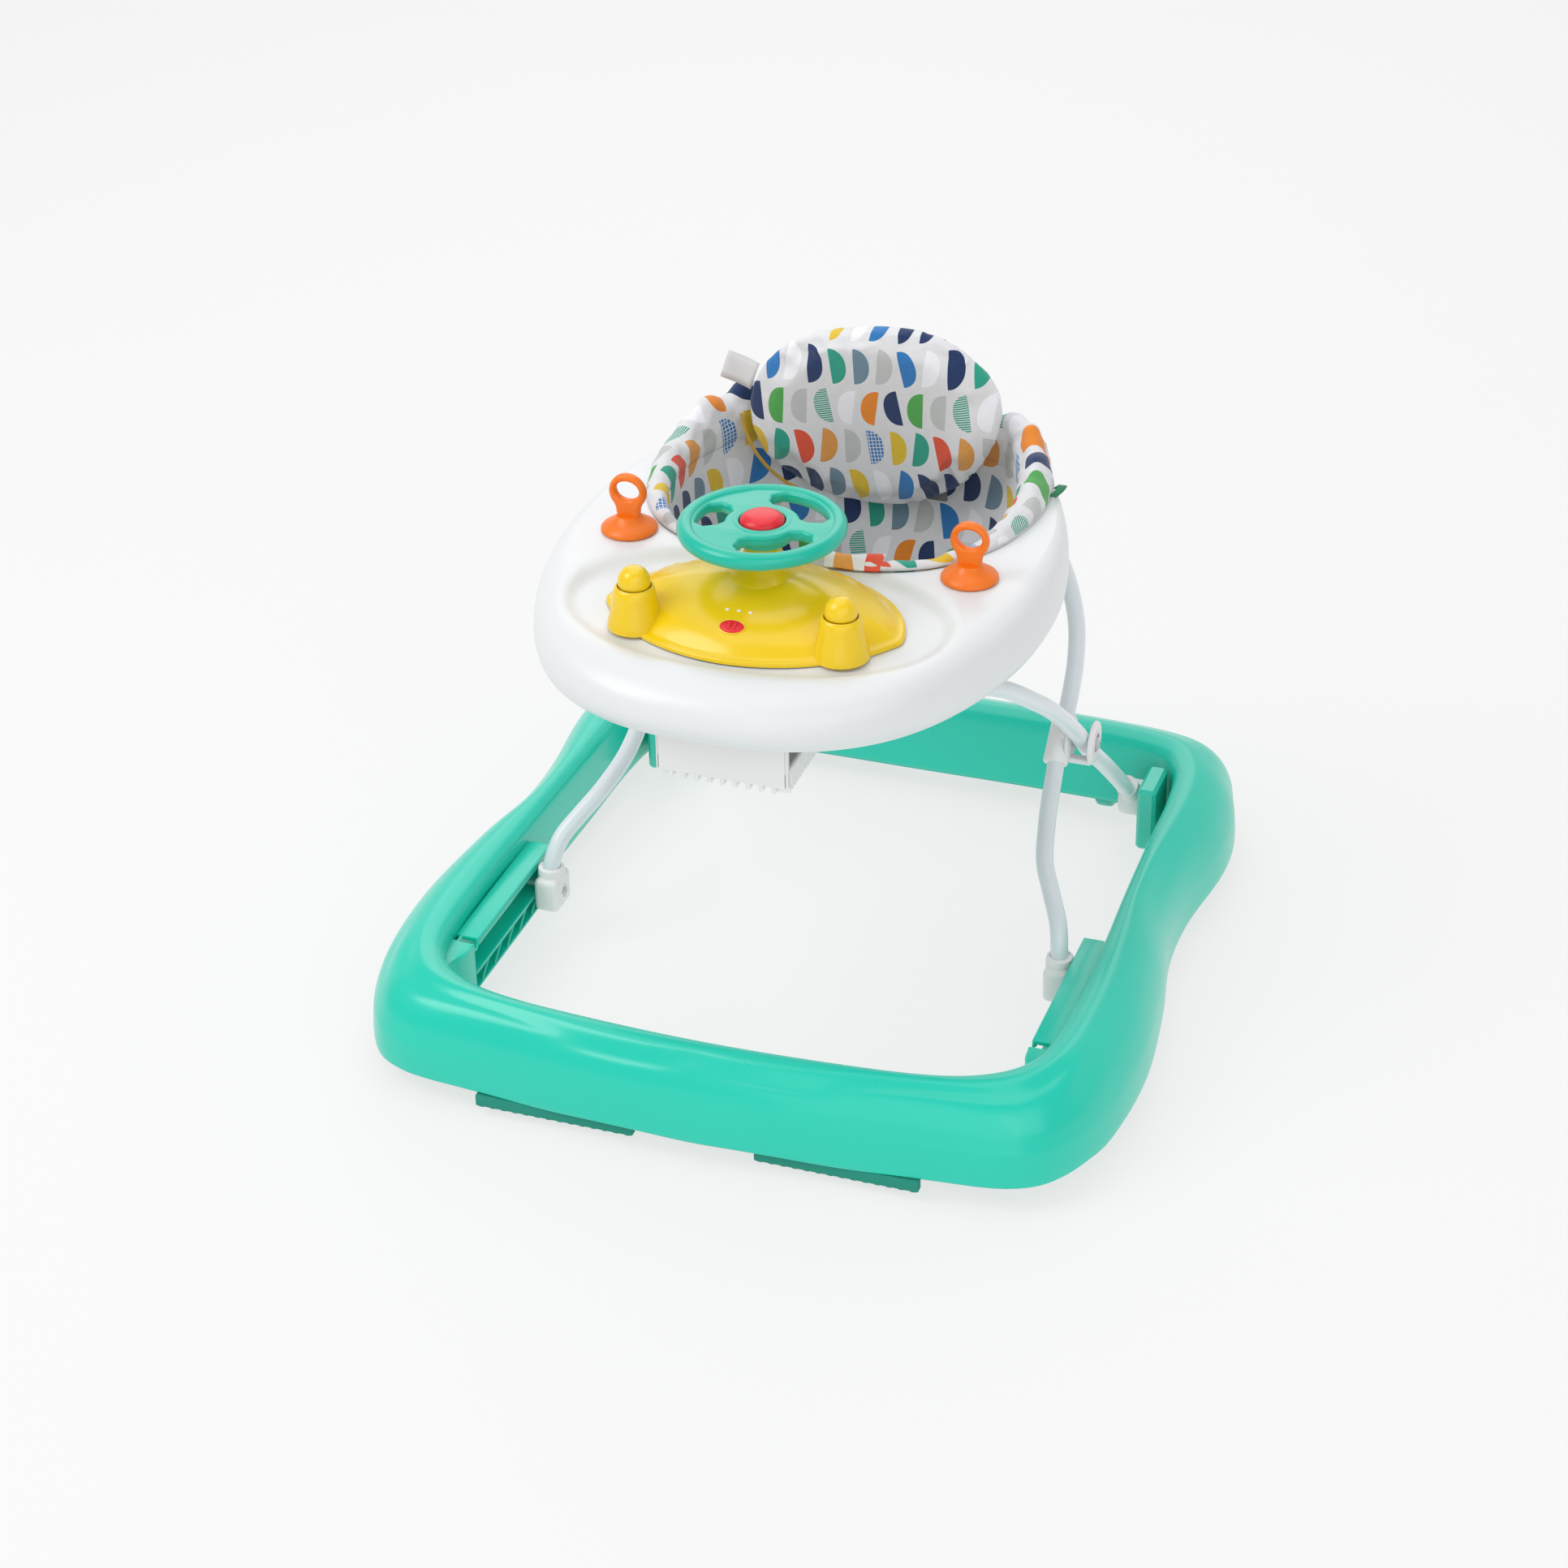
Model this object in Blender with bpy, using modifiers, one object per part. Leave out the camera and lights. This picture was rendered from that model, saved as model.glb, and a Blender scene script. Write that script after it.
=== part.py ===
"""A folding baby walker: a wheeled base ring, two scissor leg frames, a tray with
a toy station, and a fabric sling seat.

The frame is in metres with +Z up.  The origin is on the floor, under the middle of
the base.  The front of the walker faces -Y and +X is its left hand side.
"""
import math

import bmesh
import bpy
from mathutils import Vector

# ----------------------------------------------------------------- driving sizes
GAP = 0.0003                    # clearance kept between two touching pieces

# base ring
SKIRT_Z = 0.020                 # lower edge of the base shell
SHELL_WALL = 0.0030             # wall of the base and tray mouldings

# scissor linkage, seen from the side as (y, z)
FOOT_Z = 0.053
FRONT_FOOT_Y = -0.063
REAR_FOOT_Y = 0.238
CROSS = (0.0875, 0.193)         # where the two frames cross
TRAY_HINGE = (0.200, 0.330)     # front leg frame crossbar, under the rear of the tray
RACK_BAR = (-0.130, 0.330)      # rear leg frame crossbar, in the rack under the front
TUBE_R = 0.0075
TUBE_WALL = 0.0012
TURNING_R = (TUBE_R + GAP) / math.cos(math.pi / 8)      # bore that an eight-sided tube turns in
FRONT_FRAME_X = 0.186           # half spread of each frame at the crossing
REAR_FRAME_X = 0.2050
FOOT_CAP_X = (0.2190, 0.2413)   # inner and outer face of a front foot cap
PIN_R = 0.0035
BOLT_R = 0.0030

# tray
TRAY_TOP = 0.4110
TRAY_EDGE = 0.3600
RECESS_DEPTH = 0.0080
RECESS_CENTRE = (0.0, -0.150)
RECESS_HALF = (0.178, 0.108)

RACK_HALF_X = 0.0550
RACK_FRONT_Y = -0.2400
RACK_REAR_Y = -0.1120
SLOT_PLAY = 0.0010              # room round the sliding bar
SLOT_SAG = 0.0037               # more room under it, where its path bows
TEETH = 6
LOOP_X = 0.1455
LOOP_Y = -0.0550
LOOP_HEAD_Z = 0.0300            # centre of the loop's head above its foot

# toy station
STATION_Z = TRAY_TOP - RECESS_DEPTH + 0.0006
WHEEL_CENTRE = (0.0, -0.135, 0.474)
WHEEL_R = 0.0675
RIM_R = 0.0072
HORN_R = 0.0180
HORN_TRAVEL = 0.0030
HORN_FLOOR = 0.4730             # bottom of the well in the hub
WHEEL_UNDER = 0.4630            # underside of the hub
SPINDLE_R = 0.0060
BUTTON_TRAVEL = 0.0030
DOME_R = 0.0155
DOME_TOP_Z = 0.4400             # top of the posts that carry the dome buttons
DOMES = {"left": (0.085, -0.196), "right": (-0.085, -0.196)}
SWITCH = (0.0, -0.208)

# seat
SEAT_FLOOR_Z = 0.215
FABRIC = 0.0045                 # thickness of the sling with its wadding
SLING_OFFSET = -1.0
BACK_FOOT = (0.1700, 0.3450)    # lower edge of the seat back, as (y, z)
BACK_LEAN = -9.0                # degrees it leans back: it droops a little forward
BACK_CURVE = 0.4                # how strongly it wraps round the child

# wheels
WHEEL_D = 0.040
WHEEL_W = 0.016
WHEEL_STEPS = 20                # flats round the tread; one of them stands on the floor
FRONT_CASTERS = {"left": (0.256, -0.281), "right": (-0.256, -0.281)}
REAR_CASTERS = {"left": (0.175, 0.305), "right": (-0.175, 0.305)}
CASTER_TRAIL = 0.006            # how far the wheel trails behind its stem
AXLE_R = 0.0020
FORK_TOP = 0.0500               # top of the fork, just under the boss that takes its stem
STEM_R = 0.0040
STEM_TOP = 0.0700
BOSS_TOP = {"front": 0.0868, "rear": 0.0850}

SIDES = {"left": 1.0, "right": -1.0}

parts = bpy.data.collections.new("baby_walker")
cutters = bpy.data.collections.new("baby_walker_cutters")


# ------------------------------------------------------------------- small tools
def start_scene():
    """Empty the scene and link the two collections."""
    for old in list(bpy.data.objects):
        bpy.data.objects.remove(old, do_unlink=True)
    bpy.context.scene.collection.children.link(parts)
    bpy.context.scene.collection.children.link(cutters)


def material(name, colour, roughness=0.4, metallic=0.0):
    """One Principled material, made once and shared by name."""
    found = bpy.data.materials.get(name)
    if found:
        return found
    made = bpy.data.materials.new(name)
    made.use_nodes = True
    made.diffuse_color = (*colour, 1.0)
    shader = made.node_tree.nodes["Principled BSDF"]
    shader.inputs["Base Color"].default_value = (*colour, 1.0)
    shader.inputs["Roughness"].default_value = roughness
    shader.inputs["Metallic"].default_value = metallic
    return made


def pivot(name, at):
    """An empty that stands on a joint's axis."""
    empty = bpy.data.objects.new(name, None)
    empty.empty_display_size = 0.02
    empty.location = at
    parts.objects.link(empty)
    return empty


def place(obj, at, parent=None):
    """Put an object at a world position, under a parent that isn't turned."""
    obj.location = Vector(at)
    if parent:
        obj.parent = parent
        obj.location = Vector(at) - parent.location
    return obj


def part(name, mesh, mat, at=(0, 0, 0), parent=None, smooth=35):
    """Make a part from a mesh built in world positions, with its origin at a point."""
    if isinstance(mesh, bmesh.types.BMesh):
        built = bpy.data.meshes.new(name)
        mesh.to_mesh(built)
        mesh.free()
        mesh = built
    mesh.name = name
    for vert in mesh.vertices:
        vert.co -= Vector(at)
    mesh.materials.clear()
    mesh.materials.append(mat)
    mesh.shade_smooth()
    mesh.set_sharp_from_angle(angle=math.radians(smooth))
    obj = bpy.data.objects.new(name, mesh)
    parts.objects.link(obj)
    return place(obj, at, parent)


def tool(name, mesh):
    """Make a hidden object that cuts or joins others."""
    obj = part(name, mesh, material("cutter", (0.5, 0.5, 0.5)))
    parts.objects.unlink(obj)
    cutters.objects.link(obj)
    obj.hide_render = True
    obj.display_type = "WIRE"
    return obj


def boolean(obj, other, operation="DIFFERENCE"):
    """Cut one object by another, or join them."""
    step = obj.modifiers.new(operation.lower(), "BOOLEAN")
    step.operation = operation
    step.solver = "EXACT"
    step.object = other
    return obj


def bevel(obj, width, segments=2, angle=40):
    """Round the edges of a part."""
    step = obj.modifiers.new("rounding", "BEVEL")
    step.width = width
    step.segments = segments
    step.limit_method = "ANGLE"
    step.angle_limit = math.radians(angle)
    return obj


def box_mesh(low, high):
    """A block between two corners."""
    bm = bmesh.new()
    bmesh.ops.create_cube(bm, size=1.0)
    low = Vector(low)
    high = Vector(high)
    for vert in bm.verts:
        vert.co = Vector((low[i] + (vert.co[i] + 0.5) * (high[i] - low[i]) for i in range(3)))
    return bm


def rod_mesh(start, end, radius, end_radius=None, sides=16):
    """A cylinder or cone between two points."""
    start = Vector(start)
    end = Vector(end)
    bm = bmesh.new()
    bmesh.ops.create_cone(bm, cap_ends=True, segments=sides, radius1=radius,
                          radius2=radius if end_radius is None else end_radius,
                          depth=(end - start).length)
    turn = Vector((0, 0, 1)).rotation_difference(end - start)
    bmesh.ops.rotate(bm, verts=bm.verts, matrix=turn.to_matrix())
    bmesh.ops.translate(bm, verts=bm.verts, vec=(start + end) / 2)
    return bm


def merged(*meshes):
    """Several separate solids in one mesh."""
    whole = bmesh.new()
    for one in meshes:
        held = bpy.data.meshes.new("held")
        one.to_mesh(held)
        one.free()
        whole.from_mesh(held)
        bpy.data.meshes.remove(held)
    return whole


def smooth_path(points, steps, folded=False):
    """Points along a Catmull-Rom curve through the given ones; a folded one meets
    its own mirror image without a kink."""
    points = [Vector(p) for p in points]
    ends = [2 * points[0] - points[1], *points, 2 * points[-1] - points[-2]]
    if folded:
        for end, near in ((0, points[1]), (-1, points[-2])):
            ends[end] = Vector((-near.x, near.y, near.z))
    path = []
    for i in range(1, len(ends) - 2):
        a, b, c, d = ends[i - 1:i + 3]
        for k in range(steps):
            t = k / steps
            path.append(0.5 * (2 * b + (c - a) * t + (2 * a - 5 * b + 4 * c - d) * t * t
                               + (3 * b - a - 3 * c + d) * t * t * t))
    path.append(points[-1])
    return path


def both_sides(half):
    """A path from one foot to the other, from the half at +X."""
    return half + [Vector((-p.x, p.y, p.z)) for p in reversed(half)]


def tube_mesh(path, radius, resolution=2):
    """A round bar along a path, as a closed mesh."""
    curve = bpy.data.curves.new("tube", "CURVE")
    curve.dimensions = "3D"
    curve.bevel_depth = radius
    curve.bevel_resolution = resolution
    curve.use_fill_caps = True
    spline = curve.splines.new("POLY")
    spline.points.add(len(path) - 1)
    for point, at in zip(spline.points, path):
        point.co = (*at, 1.0)
    return welded(curve)


def plate_mesh(outlines, low, high, rounding=0.0):
    """A flat plate with holes, from closed outlines of (x, y), between two heights."""
    curve = bpy.data.curves.new("plate", "CURVE")
    curve.dimensions = "2D"
    curve.fill_mode = "BOTH"
    curve.extrude = (high - low) / 2 - rounding
    curve.bevel_depth = rounding
    curve.bevel_resolution = 1
    curve.offset = -rounding
    for outline in outlines:
        spline = curve.splines.new("POLY")
        spline.points.add(len(outline) - 1)
        for point, at in zip(spline.points, outline):
            point.co = (at[0], at[1], 0.0, 1.0)
        spline.use_cyclic_u = True
    bm = welded(curve)
    bmesh.ops.translate(bm, verts=bm.verts, vec=(0, 0, (low + high) / 2))
    return bm


def welded(curve):
    """The closed mesh of a curve, whose caps are otherwise loose."""
    held = bpy.data.objects.new("held", curve)
    cutters.objects.link(held)
    bpy.context.view_layer.update()
    graph = bpy.context.evaluated_depsgraph_get()
    mesh = bpy.data.meshes.new_from_object(held.evaluated_get(graph))
    bpy.data.objects.remove(held, do_unlink=True)
    bm = bmesh.new()
    bm.from_mesh(mesh)
    bpy.data.meshes.remove(mesh)
    bmesh.ops.remove_doubles(bm, verts=bm.verts, dist=0.00002)
    bmesh.ops.recalc_face_normals(bm, faces=bm.faces)
    return bm


def turned_part(name, profile, mat, at, parent=None, steps=20):
    """A Screw modifier on a profile of (radius, height), its outer side top to bottom."""
    bm = bmesh.new()
    verts = [bm.verts.new((r, 0.0, z)) for r, z in profile]
    for a, b in zip(verts, verts[1:]):
        bm.edges.new((a, b))
    mesh = bpy.data.meshes.new(name)
    bm.to_mesh(mesh)
    bm.free()
    mesh.materials.append(mat)
    obj = bpy.data.objects.new(name, mesh)
    parts.objects.link(obj)
    screw = obj.modifiers.new("turning", "SCREW")
    screw.steps = steps
    screw.render_steps = steps
    screw.use_merge_vertices = True
    screw.merge_threshold = 0.00002
    screw.use_smooth_shade = True
    return place(obj, at, parent)


def strip_mesh(rows, closed):
    """A skin through rows of points; a closed one joins the last row to the first."""
    bm = bmesh.new()
    grid = [[bm.verts.new(p) for p in row] for row in rows]
    pairs = list(zip(grid, grid[1:]))
    if closed:
        pairs.append((grid[-1], grid[0]))
    for a, b in pairs:
        for i in range(len(a) - 1):
            bm.faces.new((a[i], a[i + 1], b[i + 1], b[i]))
    return bm


def half_shell(name, rows, wall, mat, at, parent=None):
    """A moulding: half a skin at +X, mirrored, then given its wall on the inside."""
    obj = part(name, strip_mesh(rows, closed=False), mat, at, parent)
    mirror = obj.modifiers.new("other_side", "MIRROR")
    mirror.use_clip = True
    mirror.merge_threshold = 0.00002
    mirror.mirror_object = None
    shell = obj.modifiers.new("wall", "SOLIDIFY")
    shell.thickness = wall
    shell.offset = -1.0
    shell.use_even_offset = False
    return obj


def mix(a, b, t):
    """The value a fraction of the way from one to another."""
    return a + (b - a) * t


def ease(t):
    """A smooth step from 0 to 1."""
    t = min(1.0, max(0.0, t))
    return t * t * (3 - 2 * t)


# --------------------------------------------------------------------- the colours
def palette():
    """The walker's materials."""
    return {
        "green": material("green_plastic", (0.010, 0.600, 0.420), 0.25),
        "dark_green": material("dark_green_rubber", (0.010, 0.300, 0.210), 0.6),
        "white": material("white_plastic", (0.860, 0.870, 0.880), 0.35),
        "tube": material("white_painted_tube", (0.780, 0.820, 0.840), 0.25),
        "yellow": material("yellow_plastic", (0.850, 0.620, 0.004), 0.22),
        "orange": material("orange_plastic", (1.000, 0.180, 0.006), 0.3),
        "red": material("red_plastic", (0.760, 0.010, 0.022), 0.3),
        "steel": material("zinc_steel", (0.620, 0.620, 0.640), 0.35, 1.0),
        "black": material("black_plastic", (0.020, 0.020, 0.022), 0.5),
        "board": material("green_circuit_board", (0.020, 0.160, 0.050), 0.5),
        "cell": material("grey_battery_cell", (0.250, 0.260, 0.280), 0.4),
        "fabric": material("printed_fabric", (0.760, 0.760, 0.770), 0.9),
        "strap": material("green_elastic", (0.030, 0.260, 0.120), 0.8),
        "label": material("white_label", (0.860, 0.850, 0.860), 0.8),
    }


# ------------------------------------------------------------------------ the base
# Each row runs from the front centre to the rear centre of one half:
# inner edge (x, y), outer edge (x, y)
BASE_PLAN = (
    ((0.000, -0.2920), (0.000, -0.3375)),
    ((0.090, -0.2890), (0.090, -0.3350)),
    ((0.174, -0.2810), (0.195, -0.3270)),
    ((0.222, -0.2650), (0.262, -0.3180)),
    ((0.252, -0.2380), (0.297, -0.2910)),
    ((0.2625, -0.200), (0.320, -0.2300)),
    ((0.2650, -0.125), (0.327, -0.1450)),
    ((0.2635, -0.050), (0.318, -0.0550)),
    ((0.2610, 0.0200), (0.304, 0.0250)),
    ((0.2590, 0.1000), (0.303, 0.0950)),
    ((0.2570, 0.1900), (0.314, 0.1900)),
    ((0.2480, 0.2420), (0.305, 0.2600)),
    ((0.2150, 0.2680), (0.270, 0.3200)),
    ((0.1200, 0.2740), (0.140, 0.3350)),
    ((0.000, 0.2740), (0.000, 0.3375)),
)
# across the rail: fraction from the inner to the outer edge, and the height
BASE_SECTION = (
    (0.00, SKIRT_Z), (0.01, 0.084), (0.08, 0.0915), (0.28, 0.0950),
    (0.52, 0.0920), (0.76, 0.0810), (0.92, 0.0640), (1.00, 0.0400), (1.00, SKIRT_Z),
)


def base_shell(colours):
    """The hollow ring: an inverted U section swept round, wider at the corners."""
    inner = smooth_path([(x, y, 0) for (x, y), outer in BASE_PLAN], 2, folded=True)
    outer = smooth_path([(x, y, 0) for inside, (x, y) in BASE_PLAN], 2, folded=True)
    rows = []
    for near, far in zip(inner, outer):
        near.x = max(near.x, 0.0)
        rows.append([(*mix(near, far, f).xy, z) for f, z in BASE_SECTION])
    for row in (rows[0], rows[-1]):
        row[:] = [(0.0, y, z) for x, y, z in row]
    shell = half_shell("base_shell", rows, SHELL_WALL, colours["green"], (0, 0, 0))
    places = {**{("front", k): v for k, v in FRONT_CASTERS.items()},
              **{("rear", k): v for k, v in REAR_CASTERS.items()}}
    for (end, side), (x, y) in places.items():
        boss = rod_mesh((x, y, FORK_TOP + 0.0010), (x, y, BOSS_TOP[end]), 0.0075, sides=16)
        boolean(shell, tool(f"{end}_boss_{side}", boss), "UNION")
    for (end, side), (x, y) in places.items():
        bore = rod_mesh((x, y, FORK_TOP), (x, y, STEM_TOP + 0.0005), STEM_R + GAP, sides=16)
        boolean(shell, tool(f"{end}_bore_{side}", bore))
    return shell


def slide_channel(side, sign, colours):
    """The slot block inside the base that guides one front foot."""
    low = (sign * 0.2420, -0.2050, 0.0300)
    high = (sign * 0.2600, -0.0330, 0.0760)
    block = part(f"slide_channel_{side}", box_mesh(*span(low, high)), colours["green"])
    bevel(block, 0.0012, 1)
    slot_low = (sign * 0.2400, -0.1950, FOOT_Z - 0.0050)
    slot_high = (sign * 0.2575, -0.0450, FOOT_Z + 0.0050)
    slot = tool(f"slide_slot_{side}", box_mesh(*span(slot_low, slot_high)))
    return boolean(block, slot)


def span(a, b):
    """The low and high corners of a block between any two of its corners."""
    low = tuple(min(a[i], b[i]) for i in range(3))
    high = tuple(max(a[i], b[i]) for i in range(3))
    return low, high


def pivot_block(side, sign, colours):
    """The block inside a rear corner that one rear foot turns on."""
    low = (sign * 0.2270, 0.2020, 0.0200)
    high = (sign * 0.2440, 0.2500, 0.0820)
    block = part(f"rear_pivot_block_{side}", box_mesh(*span(low, high)), colours["green"])
    bevel(block, 0.003, 1)
    start = (sign * 0.2200, REAR_FOOT_Y, FOOT_Z)
    end = (sign * 0.2400, REAR_FOOT_Y, FOOT_Z)
    return boolean(block, tool(f"rear_pin_bore_{side}", rod_mesh(start, end, 0.0035 + GAP)))


def grip_strips(colours):
    """The four rubber strips that stop the walker at a step."""
    for end, y, x_in, x_out in (("front", -0.3260, 0.052, 0.190), ("rear", 0.3300, 0.030, 0.135)):
        for side, sign in SIDES.items():
            low = (sign * x_in, y - 0.0040, 0.0090)
            high = (sign * x_out, y + 0.0040, SKIRT_Z - GAP)
            strip = part(f"grip_strip_{end}_{side}", box_mesh(*span(low, high)), colours["dark_green"])
            bevel(strip, 0.0015, 1)


def caster(end, side, at, colours):
    """A wheel on its axle in a fork; the front forks swivel on a stem."""
    x, y = at
    trail = CASTER_TRAIL if end == "front" else 0.0
    stem = pivot(f"{end}_caster_{side}", (x, y, 0.0))
    axle_at = (x, y + trail, WHEEL_D / 2)
    inner = WHEEL_W / 2 + 0.0006
    outer = inner + 0.0025
    front, back = y - 0.0120, y + trail + 0.0080
    crown = box_mesh((x - outer, front, FORK_TOP - 0.0055), (x + outer, back, FORK_TOP))
    fork = part(f"{end}_caster_fork_{side}", crown, colours["dark_green"], (x, y, 0.0), stem)
    for sign, name in ((1, "left"), (-1, "right")):
        cheek = box_mesh(*span((x + sign * inner, front, 0.0130), (x + sign * outer, back, FORK_TOP - 0.001)))
        boolean(fork, tool(f"{end}_{name}_cheek_{side}", cheek), "UNION")
    post = rod_mesh((x, y, FORK_TOP - 0.0020), (x, y, STEM_TOP), STEM_R, sides=16)
    boolean(fork, tool(f"{end}_stem_{side}", post), "UNION")

    def along_axle(reach):
        return (x - reach, *axle_at[1:]), (x + reach, *axle_at[1:])

    hole = rod_mesh(*along_axle(outer + 0.0020), AXLE_R + GAP, sides=12)
    boolean(fork, tool(f"{end}_axle_hole_{side}", hole))
    axle = rod_mesh(*along_axle(outer), AXLE_R, sides=12)
    part(f"{end}_axle_{side}", axle, colours["steel"], axle_at, stem)

    facet = math.pi / WHEEL_STEPS
    radius, half, edge = WHEEL_D / 2 / math.cos(facet), WHEEL_W / 2, 0.0020
    bore = AXLE_R + GAP
    profile = [(bore, half), (radius - edge, half), (radius, half - edge),
               (radius, edge - half), (radius - edge, -half), (bore, -half), (bore, half)]
    wheel = turned_part(f"{end}_wheel_{side}", profile, colours["green"], axle_at, stem, WHEEL_STEPS)
    wheel.rotation_mode = "ZYX"
    wheel.rotation_euler = (0.0, math.radians(90), facet)


# ------------------------------------------------------------------ the leg frames
def rear_frame_path():
    """The tube from a rear foot to the crossbar in the rack."""
    y, z = RACK_BAR
    half = smooth_path([
        (0.2150, REAR_FOOT_Y - 0.002, FOOT_Z + 0.002), (0.2140, 0.200, 0.088), (0.2110, 0.150, 0.134),
        (0.2052, 0.110, 0.172), (REAR_FRAME_X, *CROSS), (0.2048, 0.064, 0.215), (0.1975, 0.018, 0.258),
        (0.1860, -0.014, 0.285), (0.1720, -0.040, 0.306), (0.1560, -0.066, 0.320),
        (0.1390, -0.094, z - 0.002), (0.1200, y + 0.012, z), (0.0980, y, z),
    ], 2)
    return both_sides(half)


def front_frame_path():
    """The tube from a front foot to the crossbar under the rear of the tray."""
    y, z = TRAY_HINGE
    half = smooth_path([
        (0.2300, FRONT_FOOT_Y - 0.002, FOOT_Z + 0.004), (0.2290, -0.062, 0.078), (0.2240, -0.050, 0.097),
        (0.2120, -0.030, 0.113), (0.2000, -0.008, 0.128), (0.1920, 0.026, 0.143), (0.1880, 0.056, 0.164),
        (FRONT_FRAME_X, *CROSS), (0.1850, 0.118, 0.217), (0.1835, 0.140, 0.241), (0.1780, 0.160, 0.266),
        (0.1660, 0.178, 0.292), (0.1500, 0.192, 0.314), (0.1300, y - 0.001, z - 0.002), (0.1080, y, z),
    ], 2)
    return both_sides(half)


def leg_frames(bodies, colours):
    """The two bent tubes, with a bore where the rear one turns on its bolts."""
    front = part("front_leg_frame", tube_mesh(front_frame_path(), TUBE_R), colours["tube"],
                 (0, *CROSS), bodies["front"])
    rear = part("rear_leg_frame", tube_mesh(rear_frame_path(), TUBE_R), colours["tube"],
                (0, REAR_FOOT_Y, FOOT_Z), bodies["rear"])
    bores = [rod_mesh((s * 0.1940, *CROSS), (s * 0.2160, *CROSS), BOLT_R + GAP, sides=12)
             for s in SIDES.values()]
    for frame, path in ((front, front_frame_path()), (rear, rear_frame_path())):
        core = [2 * path[0] - path[1], *path, 2 * path[-1] - path[-2]]
        boolean(frame, tool(f"{frame.name}_core", tube_mesh(core, TUBE_R - TUBE_WALL, 1)))
    return boolean(rear, tool("cross_bolt_bores", merged(*bores)))


def foot_cap(side, sign, bodies, colours):
    """The white cap on a front foot, and the pin it slides on."""
    y = FRONT_FOOT_Y
    inner, outer = FOOT_CAP_X
    cap = part(f"front_foot_cap_{side}",
               box_mesh(*span((sign * inner, y - 0.0165, 0.0345), (sign * outer, y + 0.0165, 0.0740))),
               colours["white"], (sign * inner, y, FOOT_Z), bodies["front"])
    bevel(cap, 0.0050, 2)
    boolean(cap, tool(f"front_foot_socket_{side}", tube_mesh(front_frame_path(), TUBE_R + GAP)))
    bore = rod_mesh((sign * (outer - 0.0080), y, FOOT_Z), (sign * (outer + 0.0020), y, FOOT_Z), PIN_R + GAP,
                    sides=16)
    boolean(cap, tool(f"slide_pin_bore_{side}", bore))
    pin = rod_mesh((sign * (outer - 0.0070), y, FOOT_Z), (sign * (outer + 0.0150), y, FOOT_Z), PIN_R, sides=16)
    part(f"slide_pin_{side}", pin, colours["steel"], (sign * outer, y, FOOT_Z), bodies["front"])


def rear_foot(side, sign, bodies, colours):
    """The white fork on a rear foot, and the pin it turns on."""
    y, z = REAR_FOOT_Y, FOOT_Z
    inner, outer = 0.2045, 0.2262
    fork = part(f"rear_foot_bracket_{side}",
                rod_mesh((sign * inner, y, z), (sign * outer, y, z), 0.0165, sides=20),
                colours["white"], (sign * inner, y, z), bodies["rear"])
    bevel(fork, 0.0015, 1)
    boolean(fork, tool(f"rear_foot_socket_{side}", tube_mesh(rear_frame_path(), TUBE_R + GAP)))
    bore = rod_mesh((sign * (outer - 0.0035), y, z), (sign * (outer + 0.002), y, z), PIN_R + GAP, sides=16)
    boolean(fork, tool(f"rear_foot_bore_{side}", bore))
    pin = rod_mesh((sign * (outer - 0.0030), y, z), (sign * (outer + 0.0130), y, z), PIN_R, sides=16)
    part(f"rear_pivot_pin_{side}", pin, colours["steel"], (sign * outer, y, z))


def cross_bracket(side, sign, bodies, colours):
    """The white sleeve on the front frame whose two ears hold the rear frame."""
    y, z = CROSS
    along = Vector((0.0, 0.1505, 0.1400)).normalized()
    centre = Vector((sign * FRONT_FRAME_X, y, z))
    sleeve = rod_mesh(centre - along * 0.0240, centre + along * 0.0200, 0.0108, sides=16)
    bracket = part(f"cross_bracket_{side}", sleeve, colours["white"], (sign * FRONT_FRAME_X, y, z),
                   bodies["front"])
    ears = (("inner", 0.1936, 0.1964, 0.0180), ("outer", 0.2136, 0.2170, 0.0190))
    for name, x_in, x_out, radius in ears:
        ear = rod_mesh((sign * x_in, y, z), (sign * x_out, y, z), radius, sides=20)
        boolean(bracket, tool(f"{name}_ear_{side}", ear), "UNION")
    bridge = box_mesh(*span((sign * 0.1945, y - 0.0080, z - 0.0185), (sign * 0.2150, y + 0.0010, z - 0.0145)))
    boolean(bracket, tool(f"ear_bridge_{side}", bridge), "UNION")
    boolean(bracket, tool(f"sleeve_bore_{side}", tube_mesh(front_frame_path(), TUBE_R + GAP)))
    hole = rod_mesh((sign * 0.1950, y, z), (sign * 0.2200, y, z), BOLT_R + GAP, sides=12)
    boolean(bracket, tool(f"ear_bore_{side}", hole))
    bolt = part(f"cross_bolt_{side}", rod_mesh((sign * 0.1960, y, z), (sign * 0.2180, y, z), BOLT_R, sides=12),
                colours["steel"], (sign * 0.2180, y, z), bodies["front"])
    head = rod_mesh((sign * 0.2172, y, z), (sign * 0.2195, y, z), 0.0055, sides=16)
    boolean(bolt, tool(f"bolt_head_{side}", head), "UNION")


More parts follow.
